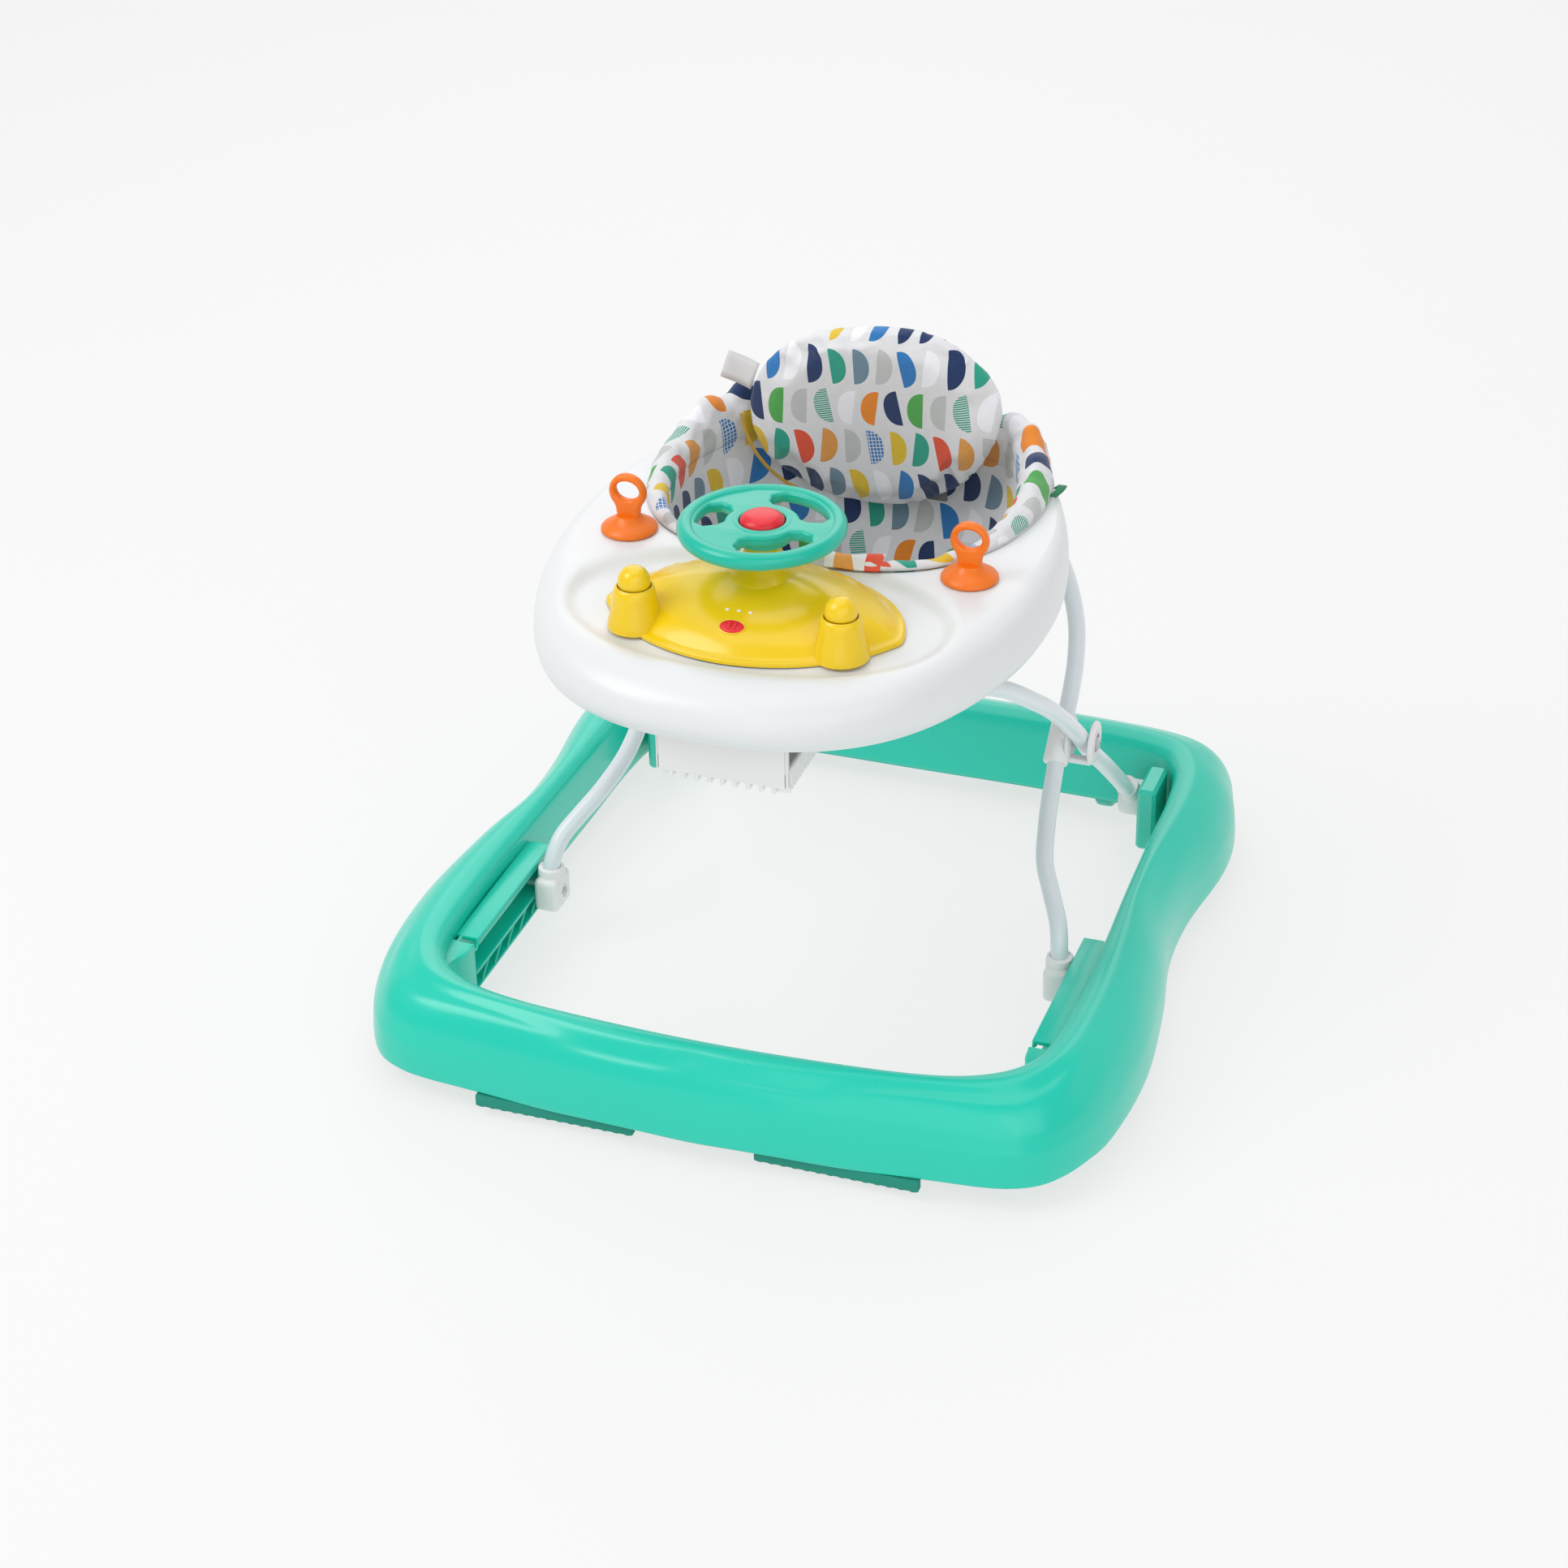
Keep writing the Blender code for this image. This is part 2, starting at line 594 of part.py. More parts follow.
# ------------------------------------------------------------------------ the tray
# Each row runs from the front centre to the rear centre of one half:
# edge of the seat hole (x, y), outer edge of the rim (x, y)
TRAY_PLAN = (
    ((0.000, -0.0660), (0.000, -0.2940)),
    ((0.045, -0.0655), (0.074, -0.2850)),
    ((0.088, -0.0560), (0.133, -0.2510)),
    ((0.121, -0.0350), (0.174, -0.1940)),
    ((0.144, 0.0020), (0.2005, -0.1150)),
    ((0.153, 0.0450), (0.2080, -0.0300)),
    ((0.153, 0.0900), (0.1990, 0.0500)),
    ((0.141, 0.1380), (0.1740, 0.1180)),
    ((0.114, 0.1740), (0.1440, 0.1760)),
    ((0.064, 0.1930), (0.0970, 0.2210)),
    ((0.000, 0.1970), (0.000, 0.2380)),
)
# across the rim: fraction from the hole to the outer edge, and the drop from the top
TRAY_SECTION = (
    (0.000, 0.0300), (0.000, 0.0050), (0.050, 0.0), (0.250, 0.0), (0.450, 0.0), (0.620, 0.0),
    (0.750, 0.0010), (0.880, 0.0055), (0.960, 0.0145), (1.000, 0.0310), (0.955, TRAY_TOP - TRAY_EDGE),
)


def recess_drop(x, y):
    """How far the tray's top is sunk round the toy station."""
    reach = math.hypot((x - RECESS_CENTRE[0]) / RECESS_HALF[0], (y - RECESS_CENTRE[1]) / RECESS_HALF[1])
    return RECESS_DEPTH * (1.0 - ease((reach - 0.80) / 0.20))


def tray_shell(bodies, colours):
    """The egg-shaped tray moulding, with its seat hole and the sunken station bay."""
    hole = smooth_path([(x, y, 0) for (x, y), outer in TRAY_PLAN], 2, folded=True)
    rim = smooth_path([(x, y, 0) for inside, (x, y) in TRAY_PLAN], 2, folded=True)
    rows = []
    for near, far in zip(hole, rim):
        row = []
        for f, drop in TRAY_SECTION:
            x, y = mix(near, far, f).xy
            row.append((x, y, TRAY_TOP - drop - recess_drop(x, y)))
        rows.append(row)
    for row in (rows[0], rows[-1]):
        row[:] = [(0.0, y, z) for x, y, z in row]
    shell = half_shell("tray_shell", rows, SHELL_WALL, colours["white"], (0, *TRAY_HINGE), bodies["tray"])
    bay = box_mesh((-0.070, -0.1950, STATION_Z - 0.030), (0.070, -0.0950, STATION_Z + 0.020))
    boolean(shell, tool("station_opening", bay))
    half = smooth_path([(x, y, 0) for x, y in COVER_PLAN], 2, folded=True)
    edge = [mix(COVER_MIDDLE, point, 1.008).xy for point in half]
    edge += [(-x, y) for x, y in reversed(edge[1:-1])]
    boolean(shell, tool("station_seat", plate_mesh([edge], STATION_Z - GAP, STATION_Z + 0.020)))
    for side, (x, y) in DOMES.items():
        seat = rod_mesh((x, y, STATION_Z + 0.0006), (x, y, STATION_Z + 0.020), 0.0192)
        boolean(shell, tool(f"post_seat_{side}", seat))
    return shell


def hinge_saddle(side, sign, bodies, colours):
    """The block under the tray's rear that the front frame's crossbar turns in."""
    y, z = TRAY_HINGE
    inner, outer = 0.0800, 0.1040
    block = part(f"hinge_saddle_{side}",
                 box_mesh(*span((sign * inner, y - 0.0120, z - 0.0130), (sign * outer, y + 0.0105, 0.3700))),
                 colours["white"], (sign * inner, y, z), bodies["tray"])
    bevel(block, 0.0020, 1)
    stem = box_mesh(*span((sign * inner, y - 0.0040, 0.3600), (sign * outer, y + 0.0060, 0.4040)))
    boolean(block, tool(f"saddle_stem_{side}", stem), "UNION")
    return boolean(block, tool(f"saddle_bore_{side}", tube_mesh(front_frame_path(), TURNING_R)))


def rack_housing(bodies, colours):
    """The white box under the tray's front, with the long slot the rear frame's bar slides in."""
    low = (-RACK_HALF_X, RACK_FRONT_Y, 0.2980)
    high = (RACK_HALF_X, RACK_REAR_Y, 0.3850)
    rack = part("rack_housing", box_mesh(low, high), colours["white"], (0, *TRAY_HINGE), bodies["tray"])
    bevel(rack, 0.0030, 1)
    bar_y, bar_z = RACK_BAR
    slot = box_mesh((-RACK_HALF_X - 0.01, RACK_FRONT_Y + 0.0050, bar_z - TUBE_R - SLOT_SAG),
                    (RACK_HALF_X + 0.01, bar_y + TUBE_R + SLOT_PLAY, bar_z + TUBE_R + SLOT_PLAY))
    boolean(rack, tool("rack_slot", slot))
    hollow = box_mesh((-RACK_HALF_X + 0.0040, RACK_FRONT_Y + 0.0040, 0.3040),
                      (RACK_HALF_X - 0.0040, RACK_REAR_Y - 0.0040, 0.3950))
    boolean(rack, tool("rack_hollow", hollow))
    for number in range(TEETH):
        y = mix(RACK_FRONT_Y + 0.0120, RACK_REAR_Y - 0.0120, number / (TEETH - 1))
        notch = box_mesh((-RACK_HALF_X - 0.01, y - 0.0022, 0.2900), (RACK_HALF_X + 0.01, y + 0.0022, 0.3040 - 0.0005))
        boolean(rack, tool(f"rack_notch_{number}", notch))
    return rack


def release_lever(bodies, colours):
    """The sprung pull under the rack that frees the bar."""
    plate = part("release_lever", box_mesh((-0.0300, -0.1080, 0.3060), (0.0300, -0.0860, 0.3110)),
                 colours["white"], (0.0, -0.0900, 0.3085), bodies["tray"])
    bevel(plate, 0.0012, 1)
    grip = rod_mesh((-0.0280, -0.0850, 0.3040), (0.0280, -0.0850, 0.3040), 0.0050, sides=12)
    return boolean(plate, tool("lever_grip", grip), "UNION")


def keyhole_outline():
    """The loop's outline: a round head on a narrower neck, in (x, z)."""
    head, neck = 0.0160, 0.0100
    points = []
    for step in range(13):
        turn = math.radians(-55 + 290 * step / 12)
        points.append((head * math.cos(turn), LOOP_HEAD_Z + head * math.sin(turn)))
    return [(neck, 0.0), (neck, 0.018), *points, (-neck, 0.018), (-neck, 0.0)]


def ring_outline(radius_x, radius_y, centre, sides=20):
    """An ellipse as a closed outline."""
    return [(centre[0] + radius_x * math.cos(math.tau * k / sides),
             centre[1] + radius_y * math.sin(math.tau * k / sides)) for k in range(sides)]


def toy_loop(side, sign, bodies, colours):
    """An orange loop on a round foot, where a toy is hung."""
    x, y = sign * LOOP_X, LOOP_Y
    foot = [(0.0, 0.0), (0.0225, 0.0), (0.0235, 0.0012), (0.0230, 0.0030), (0.0190, 0.0062),
            (0.0135, 0.0100), (0.0105, 0.0150), (0.0, 0.0160)]
    disc = turned_part(f"toy_loop_{side}", foot[::-1], colours["orange"], (x, y, TRAY_TOP + GAP), bodies["tray"])
    plate = plate_mesh([keyhole_outline(), ring_outline(0.0105, 0.0085, (0.0, LOOP_HEAD_Z + 0.001))],
                       -0.0040, 0.0040)
    for vert in plate.verts:
        across, up, thick = vert.co
        vert.co = (x + across, y - thick, TRAY_TOP + GAP + 0.0040 + up)
    bmesh.ops.recalc_face_normals(plate, faces=plate.faces)
    return boolean(disc, tool(f"loop_plate_{side}", plate), "UNION")


# ----------------------------------------------------------------- the toy station
# Half of the cover's lens-shaped edge, front centre to rear centre
COVER_PLAN = ((0.0, -0.2340), (0.050, -0.2250), (0.092, -0.2020), (0.1180, -0.1720),
              (0.1230, -0.1560), (0.112, -0.1240), (0.088, -0.0960), (0.048, -0.0740), (0.0, -0.0680))
# from the edge to the crown: fraction left of the plan, and height above the tray
COVER_SECTION = ((1.00, 0.0), (0.995, 0.0030), (0.930, 0.0050), (0.840, 0.0130), (0.640, 0.0230),
                 (0.360, 0.0310))
COVER_MIDDLE = Vector((0.0, -0.145, 0.0))
COVER_WALL = 0.0022


def toy_cover(bodies, colours):
    """The yellow shell, with two button posts and the post of the steering wheel."""
    edge = smooth_path([(x, y, 0) for x, y in COVER_PLAN], 2, folded=True)
    rows = []
    for point in edge:
        rows.append([(*mix(COVER_MIDDLE, point, f).xy, STATION_Z + h) for f, h in COVER_SECTION])
        rows[-1].append((0.0, COVER_MIDDLE.y, STATION_Z + 0.0342))
    for row in (rows[0], rows[-1]):
        row[:] = [(0.0, y, z) for x, y, z in row]
    skin = strip_mesh(rows, closed=False)
    bmesh.ops.remove_doubles(skin, verts=skin.verts, dist=0.00001)
    cover = part("toy_cover", skin, colours["yellow"], (0, *TRAY_HINGE), bodies["tray"])
    mirror = cover.modifiers.new("other_side", "MIRROR")
    mirror.use_clip = True
    mirror.merge_threshold = 0.00002
    shell = cover.modifiers.new("wall", "SOLIDIFY")
    shell.thickness = COVER_WALL
    shell.offset = -1.0
    x, y, z = WHEEL_CENTRE
    for side, (dome_x, dome_y) in DOMES.items():
        post = rod_mesh((dome_x, dome_y, STATION_Z + 0.0010), (dome_x, dome_y, DOME_TOP_Z), 0.0185, 0.0165)
        boolean(cover, tool(f"dome_post_{side}", post), "UNION")
    neck = rod_mesh((x, y, STATION_Z + 0.0300), (x, y, WHEEL_UNDER - 0.0010), 0.0160, 0.0120)
    boolean(cover, tool("wheel_neck", neck), "UNION")
    spindle = rod_mesh((x, y, WHEEL_UNDER - 0.0050), (x, y, HORN_FLOOR - 0.0020), SPINDLE_R)
    boolean(cover, tool("spindle", spindle), "UNION")
    for side, (dome_x, dome_y) in DOMES.items():
        well = rod_mesh((dome_x, dome_y, DOME_TOP_Z - 0.0100), (dome_x, dome_y, DOME_TOP_Z + 0.01), 0.0130)
        boolean(cover, tool(f"dome_well_{side}", well))
    slot = box_mesh((SWITCH[0] - 0.0100, SWITCH[1] - 0.0035, STATION_Z - 0.005),
                    (SWITCH[0] + 0.0100, SWITCH[1] + 0.0035, STATION_Z + 0.030))
    return boolean(cover, tool("switch_slot", slot))


def dome_button(side, x, y, bodies, colours):
    """A round yellow button that presses into its post."""
    z = DOME_TOP_Z
    profile = [(0.0, z + 0.0150), (0.0060, z + 0.0142), (0.0110, z + 0.0112), (0.0143, z + 0.0062),
               (DOME_R, z + BUTTON_TRAVEL), (0.0124, z + BUTTON_TRAVEL), (0.0124, z - 0.0030), (0.0, z - 0.0030)]
    shape = [(r, h - z) for r, h in profile]
    turned_part(f"dome_button_{side}", shape, colours["yellow"], (x, y, z), bodies["tray"])


def coil(name, low, high, radius, parent, colours):
    """A short spring of round wire standing on its axis."""
    turns, wire, around = 1.5, 0.0006, 8
    count = int(turns * around)
    path = [Vector((low[0] + radius * math.cos(math.tau * k / around),
                    low[1] + radius * math.sin(math.tau * k / around),
                    mix(low[2] + wire, high[2] - wire, k / count))) for k in range(count + 1)]
    part(name, tube_mesh(path, wire), colours["steel"], low, parent)


def arc_band(inner, outer, start, end, steps):
    """The outline of a stretch of ring, angles in degrees."""
    angles = [math.radians(start + (end - start) * k / steps) for k in range(steps + 1)]
    far = [(outer * math.cos(a), outer * math.sin(a)) for a in angles]
    near = [(inner * math.cos(a), inner * math.sin(a)) for a in reversed(angles)]
    return far + near


def steering_wheel(bodies, colours):
    """The teal wheel: a round rim, one thin spoke and two broad webs, and its horn well."""
    x, y, z = WHEEL_CENTRE
    rim_line = WHEEL_R - RIM_R
    bm = bmesh.new()
    rings = []
    around, across = 24, 6
    for k in range(around):
        turn = math.tau * k / around
        rings.append([bm.verts.new(((rim_line + RIM_R * math.cos(math.tau * m / across)) * math.cos(turn),
                                    (rim_line + RIM_R * math.cos(math.tau * m / across)) * math.sin(turn),
                                    RIM_R * math.sin(math.tau * m / across))) for m in range(across)])
    for a, b in zip(rings, rings[1:] + rings[:1]):
        for m in range(across):
            bm.faces.new((a[m], b[m], b[(m + 1) % across], a[(m + 1) % across]))
    bmesh.ops.translate(bm, verts=bm.verts, vec=WHEEL_CENTRE)
    wheel = part("steering_wheel", bm, colours["green"], WHEEL_CENTRE, bodies["tray"])
    web = plate_mesh([ring_outline(rim_line, rim_line, (0, 0), around),
                      arc_band(0.0300, 0.0510, 12, 98, 6),
                      arc_band(0.0300, 0.0510, -98, -12, 6),
                      arc_band(0.0330, 0.0500, 158, 202, 4)], -0.0045, 0.0035)
    hub = rod_mesh((0, 0, -0.0110), (0, 0, 0.0060), 0.0235)
    for mesh, name in ((web, "wheel_web"), (hub, "wheel_hub")):
        bmesh.ops.translate(mesh, verts=mesh.verts, vec=WHEEL_CENTRE)
        boolean(wheel, tool(name, mesh), "UNION")
    well = rod_mesh((x, y, HORN_FLOOR), (x, y, z + 0.03), HORN_R + 0.0004)
    boolean(wheel, tool("horn_well", well))
    bore = rod_mesh((x, y, z - 0.03), (x, y, z + 0.03), SPINDLE_R + GAP)
    boolean(wheel, tool("spindle_bore", bore))
    horn = [(0.0, 0.0095), (0.0080, 0.0088), (0.0140, 0.0064), (HORN_R, 0.0030), (HORN_R, 0.0), (0.0, 0.0)]
    turned_part("horn_button", horn, colours["red"], (x, y, HORN_FLOOR + HORN_TRAVEL + 0.0004), bodies["tray"])
    coil("horn_spring", (x, y, HORN_FLOOR), (x, y, HORN_FLOOR + HORN_TRAVEL + 0.0002), 0.0120,
         bodies["tray"], colours)


def station_works(bodies, colours):
    """The switch and what is under the cover: cells in their box, its door, board and speaker."""
    tray = bodies["tray"]
    x, y = SWITCH
    top = STATION_Z + 0.0185
    switch = part("volume_switch", box_mesh((x - 0.0062, y - 0.0031, STATION_Z + 0.0085),
                                            (x + 0.0062, y + 0.0031, top)), colours["red"], (x, y, top), tray)
    bevel(switch, 0.0010, 1)
    low, high = (-0.0340, -0.1790, STATION_Z - 0.0120), (0.0340, -0.1300, STATION_Z + 0.0080)
    case = part("battery_box", box_mesh(low, high), colours["black"], (0, -0.155, low[2]), tray)
    hollow = box_mesh((low[0] + 0.002, low[1] + 0.002, low[2] - 0.01), (high[0] - 0.002, high[1] - 0.002, high[2] - 0.002))
    boolean(case, tool("battery_hollow", hollow))
    for number, cell_y in (("front", -0.1670), ("rear", -0.1420)):
        cell = rod_mesh((-0.0245, cell_y, STATION_Z - 0.0025), (0.0245, cell_y, STATION_Z - 0.0025), 0.0071, sides=16)
        part(f"battery_cell_{number}", cell, colours["cell"], (0, cell_y, STATION_Z - 0.0025), tray)
    door = box_mesh((low[0], low[1], low[2] - 0.0024), (high[0], high[1], low[2] - GAP))
    part("battery_door", door, colours["white"], (0, -0.155, low[2]), tray)
    board = box_mesh((-0.0320, -0.1760, STATION_Z + 0.0090), (0.0320, -0.1320, STATION_Z + 0.0106))
    part("circuit_board", board, colours["board"], (0, -0.155, STATION_Z + 0.009), tray)
    cone = rod_mesh((0.0, -0.1110, STATION_Z - 0.0060), (0.0, -0.1110, STATION_Z + 0.0060), 0.0090, 0.0140, sides=20)
    part("speaker", cone, colours["black"], (0.0, -0.111, STATION_Z), tray)


# ------------------------------------------------------------------------ the seat
# The sling from the front centre round to the rear centre of one half, as the edge of
# its mouth (x, y) just inside the tray's hole, and the edge of its floor (x, y)
SLING_PLAN = (
    ((0.000, -0.0630), (0.000, -0.0200)), ((0.045, -0.0620), (0.026, -0.0190)),
    ((0.087, -0.0530), (0.048, -0.0120)), ((0.119, -0.0320), (0.064, 0.0020)),
    ((0.141, 0.0040), (0.075, 0.0230)), ((0.150, 0.0450), (0.079, 0.0480)),
    ((0.150, 0.0900), (0.077, 0.0740)), ((0.138, 0.1370), (0.066, 0.0980)),
    ((0.112, 0.1720), (0.050, 0.1140)), ((0.063, 0.1900), (0.028, 0.1220)),
    ((0.000, 0.1940), (0.000, 0.1240)),
)
# down the sling's wall: fraction from the mouth to the floor, and the height
SLING_SECTION = ((-0.16, 0.4170), (-0.08, 0.4200), (0.015, 0.4180), (0.040, 0.4080), (0.055, 0.3700),
                 (0.110, 0.3200), (0.360, 0.2620), (0.780, 0.2260), (1.000, 0.2170))


def seat_sling(bodies, colours):
    """The fabric bucket that hangs in the tray, with a rolled rim and two leg holes."""
    mouth = smooth_path([(x, y, 0) for (x, y), floor in SLING_PLAN], 2, folded=True)
    floor = smooth_path([(x, y, 0) for inside, (x, y) in SLING_PLAN], 2, folded=True)
    rows = []
    for edge, base in zip(mouth, floor):
        row = [(*mix(edge, base, f).xy, z) for f, z in SLING_SECTION]
        row.append((0.0, 0.052, SEAT_FLOOR_Z))
        rows.append(row)
    for row in (rows[0], rows[-1]):
        row[:] = [(0.0, y, z) for x, y, z in row]
    skin = strip_mesh(rows, closed=False)
    bmesh.ops.remove_doubles(skin, verts=skin.verts, dist=0.00001)
    sling = part("seat_sling", skin, colours["fabric"], (0, *TRAY_HINGE), bodies["tray"], smooth=60)
    mirror = sling.modifiers.new("other_side", "MIRROR")
    mirror.use_clip = True
    mirror.merge_threshold = 0.00002
    wall = sling.modifiers.new("wadding", "SOLIDIFY")
    wall.thickness = FABRIC
    wall.offset = SLING_OFFSET
    for side, sign in SIDES.items():
        hole = rod_mesh((sign * 0.034, 0.045, 0.2760), (sign * 0.170, -0.060, 0.2560), 0.0500, sides=20)
        boolean(sling, tool(f"leg_hole_{side}", hole))
    return sling


def seat_back(bodies, colours):
    """The padded back with its stiffening board, the sewn label and the elastic."""
    tray = bodies["tray"]
    half = [(0.0, 0.0), (0.044, 0.0080), (0.078, 0.0290), (0.100, 0.0580), (0.114, 0.0900), (0.116, 0.1160),
            (0.106, 0.1410), (0.087, 0.1640), (0.060, 0.1810), (0.030, 0.1880), (0.0, 0.1900)]
    path = smooth_path([(x, z, 0) for x, z in half], 2, folded=True)
    outline = [(p.x, p.y) for p in path] + [(-p.x, p.y) for p in reversed(path[1:-1])]

    def stand(mesh):
        """Turn a flat plate up on the sloping back of the seat."""
        lean = math.radians(BACK_LEAN)
        for vert in mesh.verts:
            across, up, thick = vert.co
            curve = BACK_CURVE * across * across
            vert.co = (across, BACK_FOOT[0] + up * math.sin(lean) - (thick + curve) * math.cos(lean),
                       BACK_FOOT[1] + up * math.cos(lean) + (thick + curve) * math.sin(lean))
        return mesh

    pad = plate_mesh([outline], -0.0090, 0.0090, 0.0040)
    pad = part("seat_back_pad", stand(pad), colours["fabric"], (0, *TRAY_HINGE), tray)
    slit = box_mesh((-0.0600, -0.0200, -0.0020), (0.0600, 0.1540, 0.0020))
    bmesh.ops.subdivide_edges(slit, edges=[e for e in slit.edges if abs(e.verts[0].co.x - e.verts[1].co.x) > 0.1],
                              cuts=7)
    boolean(pad, tool("board_pocket", stand(slit)))
    board = box_mesh((-0.0590, 0.0180, -0.0016), (0.0590, 0.1530, 0.0016))
    bmesh.ops.subdivide_edges(board, edges=[e for e in board.edges if abs(e.verts[0].co.x - e.verts[1].co.x) > 0.1],
                              cuts=7)
    part("seat_back_board", stand(board), colours["black"], (0, *TRAY_HINGE), tray)
    label = box_mesh((-0.1440, 0.1490, 0.4640), (-0.1168, 0.1496, 0.4900))
    part("seat_label", label, colours["label"], (-0.1168, 0.149, 0.477), tray)
    strap = box_mesh((-0.0040, -0.0100, -0.0010), (0.0040, 0.0100, 0.0010))
    part("elastic_strap", shifted(strap, (0.1720, 0.1080, 0.4180)), colours["strap"], (0.172, 0.108, 0.418), tray)


def shifted(bm, by):
    """The same mesh, moved."""
    bmesh.ops.translate(bm, verts=bm.verts, vec=by)
    return bm


def build():
    """Everything, body by body."""
    start_scene()
    colours = palette()
    base_shell(colours)
    for side, sign in SIDES.items():
        slide_channel(side, sign, colours)
        pivot_block(side, sign, colours)
        caster("front", side, FRONT_CASTERS[side], colours)
        caster("rear", side, REAR_CASTERS[side], colours)
    grip_strips(colours)
    bodies = {
        "rear": pivot("rear_frame_axis", (0, REAR_FOOT_Y, FOOT_Z)),
        "front": pivot("front_frame_axis", (0, *CROSS)),
        "tray": pivot("tray_axis", (0, *TRAY_HINGE)),
    }
    leg_frames(bodies, colours)
    for side, sign in SIDES.items():
        foot_cap(side, sign, bodies, colours)
        rear_foot(side, sign, bodies, colours)
        cross_bracket(side, sign, bodies, colours)
    tray_shell(bodies, colours)
    for side, sign in SIDES.items():
        hinge_saddle(side, sign, bodies, colours)
        toy_loop(side, sign, bodies, colours)
    rack_housing(bodies, colours)
    release_lever(bodies, colours)
    toy_cover(bodies, colours)
    for side, (x, y) in DOMES.items():
        dome_button(side, x, y, bodies, colours)
    steering_wheel(bodies, colours)
    station_works(bodies, colours)
    seat_sling(bodies, colours)
    seat_back(bodies, colours)


build()
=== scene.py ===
"""A folding baby walker: the finished outside of a jointed frame, piece by piece."""

import math

import bmesh
import bpy
from mathutils import Matrix, Vector


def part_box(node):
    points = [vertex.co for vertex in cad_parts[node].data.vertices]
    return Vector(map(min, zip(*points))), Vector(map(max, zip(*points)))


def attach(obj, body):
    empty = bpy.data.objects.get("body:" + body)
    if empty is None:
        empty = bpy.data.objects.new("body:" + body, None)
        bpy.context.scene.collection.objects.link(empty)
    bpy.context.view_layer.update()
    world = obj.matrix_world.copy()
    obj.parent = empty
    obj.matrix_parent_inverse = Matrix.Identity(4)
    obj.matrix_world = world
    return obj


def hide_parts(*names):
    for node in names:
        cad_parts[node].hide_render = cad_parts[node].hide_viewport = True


bl_info = {
    "name": "Folding Baby Walker",
    "version": (1, 0, 0),
    "blender": (4, 5, 0),
    "location": "View3D > Sidebar > Walker",
    "description": "Builds the visible pieces and materials of a folding baby walker",
    "category": "Add Mesh",
}

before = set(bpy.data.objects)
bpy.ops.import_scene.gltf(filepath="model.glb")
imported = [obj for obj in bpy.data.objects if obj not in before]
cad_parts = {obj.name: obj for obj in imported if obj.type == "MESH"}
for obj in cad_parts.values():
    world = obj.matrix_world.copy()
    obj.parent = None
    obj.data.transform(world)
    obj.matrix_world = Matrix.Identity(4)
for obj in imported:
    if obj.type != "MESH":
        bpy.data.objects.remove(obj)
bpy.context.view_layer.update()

# ---------------------------------------------------------------- sizes, in metres
SKIRT_Z = 0.020
TRAY_TOP = 0.411
TRAY_EDGE = 0.360
RECESS_DEPTH = 0.008
STATION_Z = TRAY_TOP - RECESS_DEPTH + 0.0006
TUBE_R = 0.0075
FOOT_Z = 0.053
FRONT_FOOT_Y = -0.063
REAR_FOOT_Y = 0.238
CROSS = (0.0875, 0.193)
FRONT_FRAME_X = 0.186
REAR_FRAME_X = 0.205
TRAY_HINGE = (0.200, 0.330)
RACK_BAR = (-0.130, 0.330)
WHEEL = Vector((0.0, -0.135, 0.474))
WHEEL_R = 0.0675
RIM_R = 0.0072
LOOP = (0.1455, -0.0550)
DOMES = {"left": (0.085, -0.196), "right": (-0.085, -0.196)}
SIDES = {"left": 1.0, "right": -1.0}
BACK_FOOT = (0.170, 0.345)
BACK_LEAN = math.radians(-9.0)
BACK_CURVE = 0.4
BACK_TWIST = 0.08           # how much higher its left side stands
PAD_MIDDLE = Vector((0.0, 0.098, 0.0))
PAD_THICK = 0.0072          # half of it, before it is swollen
PAD_SWELL = 0.0075          # the furthest that the air may move its cloth
SEAT_Y = 0.060              # the middle that the seat's folds are counted round
SEAT_GIRTH = 0.118          # its mean radius, for laying out the print
RIM_STEPS = 15
LEG_HOLE = ((0.034, 0.045, 0.2760), (0.190, -0.075, 0.2530))
LEG_HOLE_R = 0.0490
LABEL_SIZE = (0.0290, 0.0270)
LABEL_TILT = math.radians(19.0)
PRINT_PITCH = (0.0206, 0.0400)
PRINT_SHIFT = 0.0171        # puts a motif's middle line on the seat's own

# colours as linear red, green, blue
INK = {
    "white": (0.93, 0.93, 0.98), "navy": (0.006, 0.030, 0.120), "teal": (0.015, 0.360, 0.250),
    "slate": (0.160, 0.260, 0.340), "grey": (0.560, 0.580, 0.570), "blue": (0.020, 0.190, 0.510),
    "green": (0.075, 0.400, 0.075), "orange": (0.840, 0.250, 0.012), "coral": (0.780, 0.085, 0.035),
    "ochre": (0.760, 0.330, 0.065), "yellow": (0.780, 0.530, 0.020),
}
GROUND = (0.780, 0.785, 0.805)
PRINT_ROWS = (
    ("slate", "grey", "blue", "white", "navy", "teal"),
    ("orange", "navy", "green", "grey", "teal", "white"),
    ("blue", "yellow", "teal", "coral", "ochre", "grey"),
    ("white", "blue", "navy", "navy", "slate", "yellow"),
)
STRIPED, CHECKED = 10.0, 12.0   # counts along all the rows of the two motifs with drawn lines

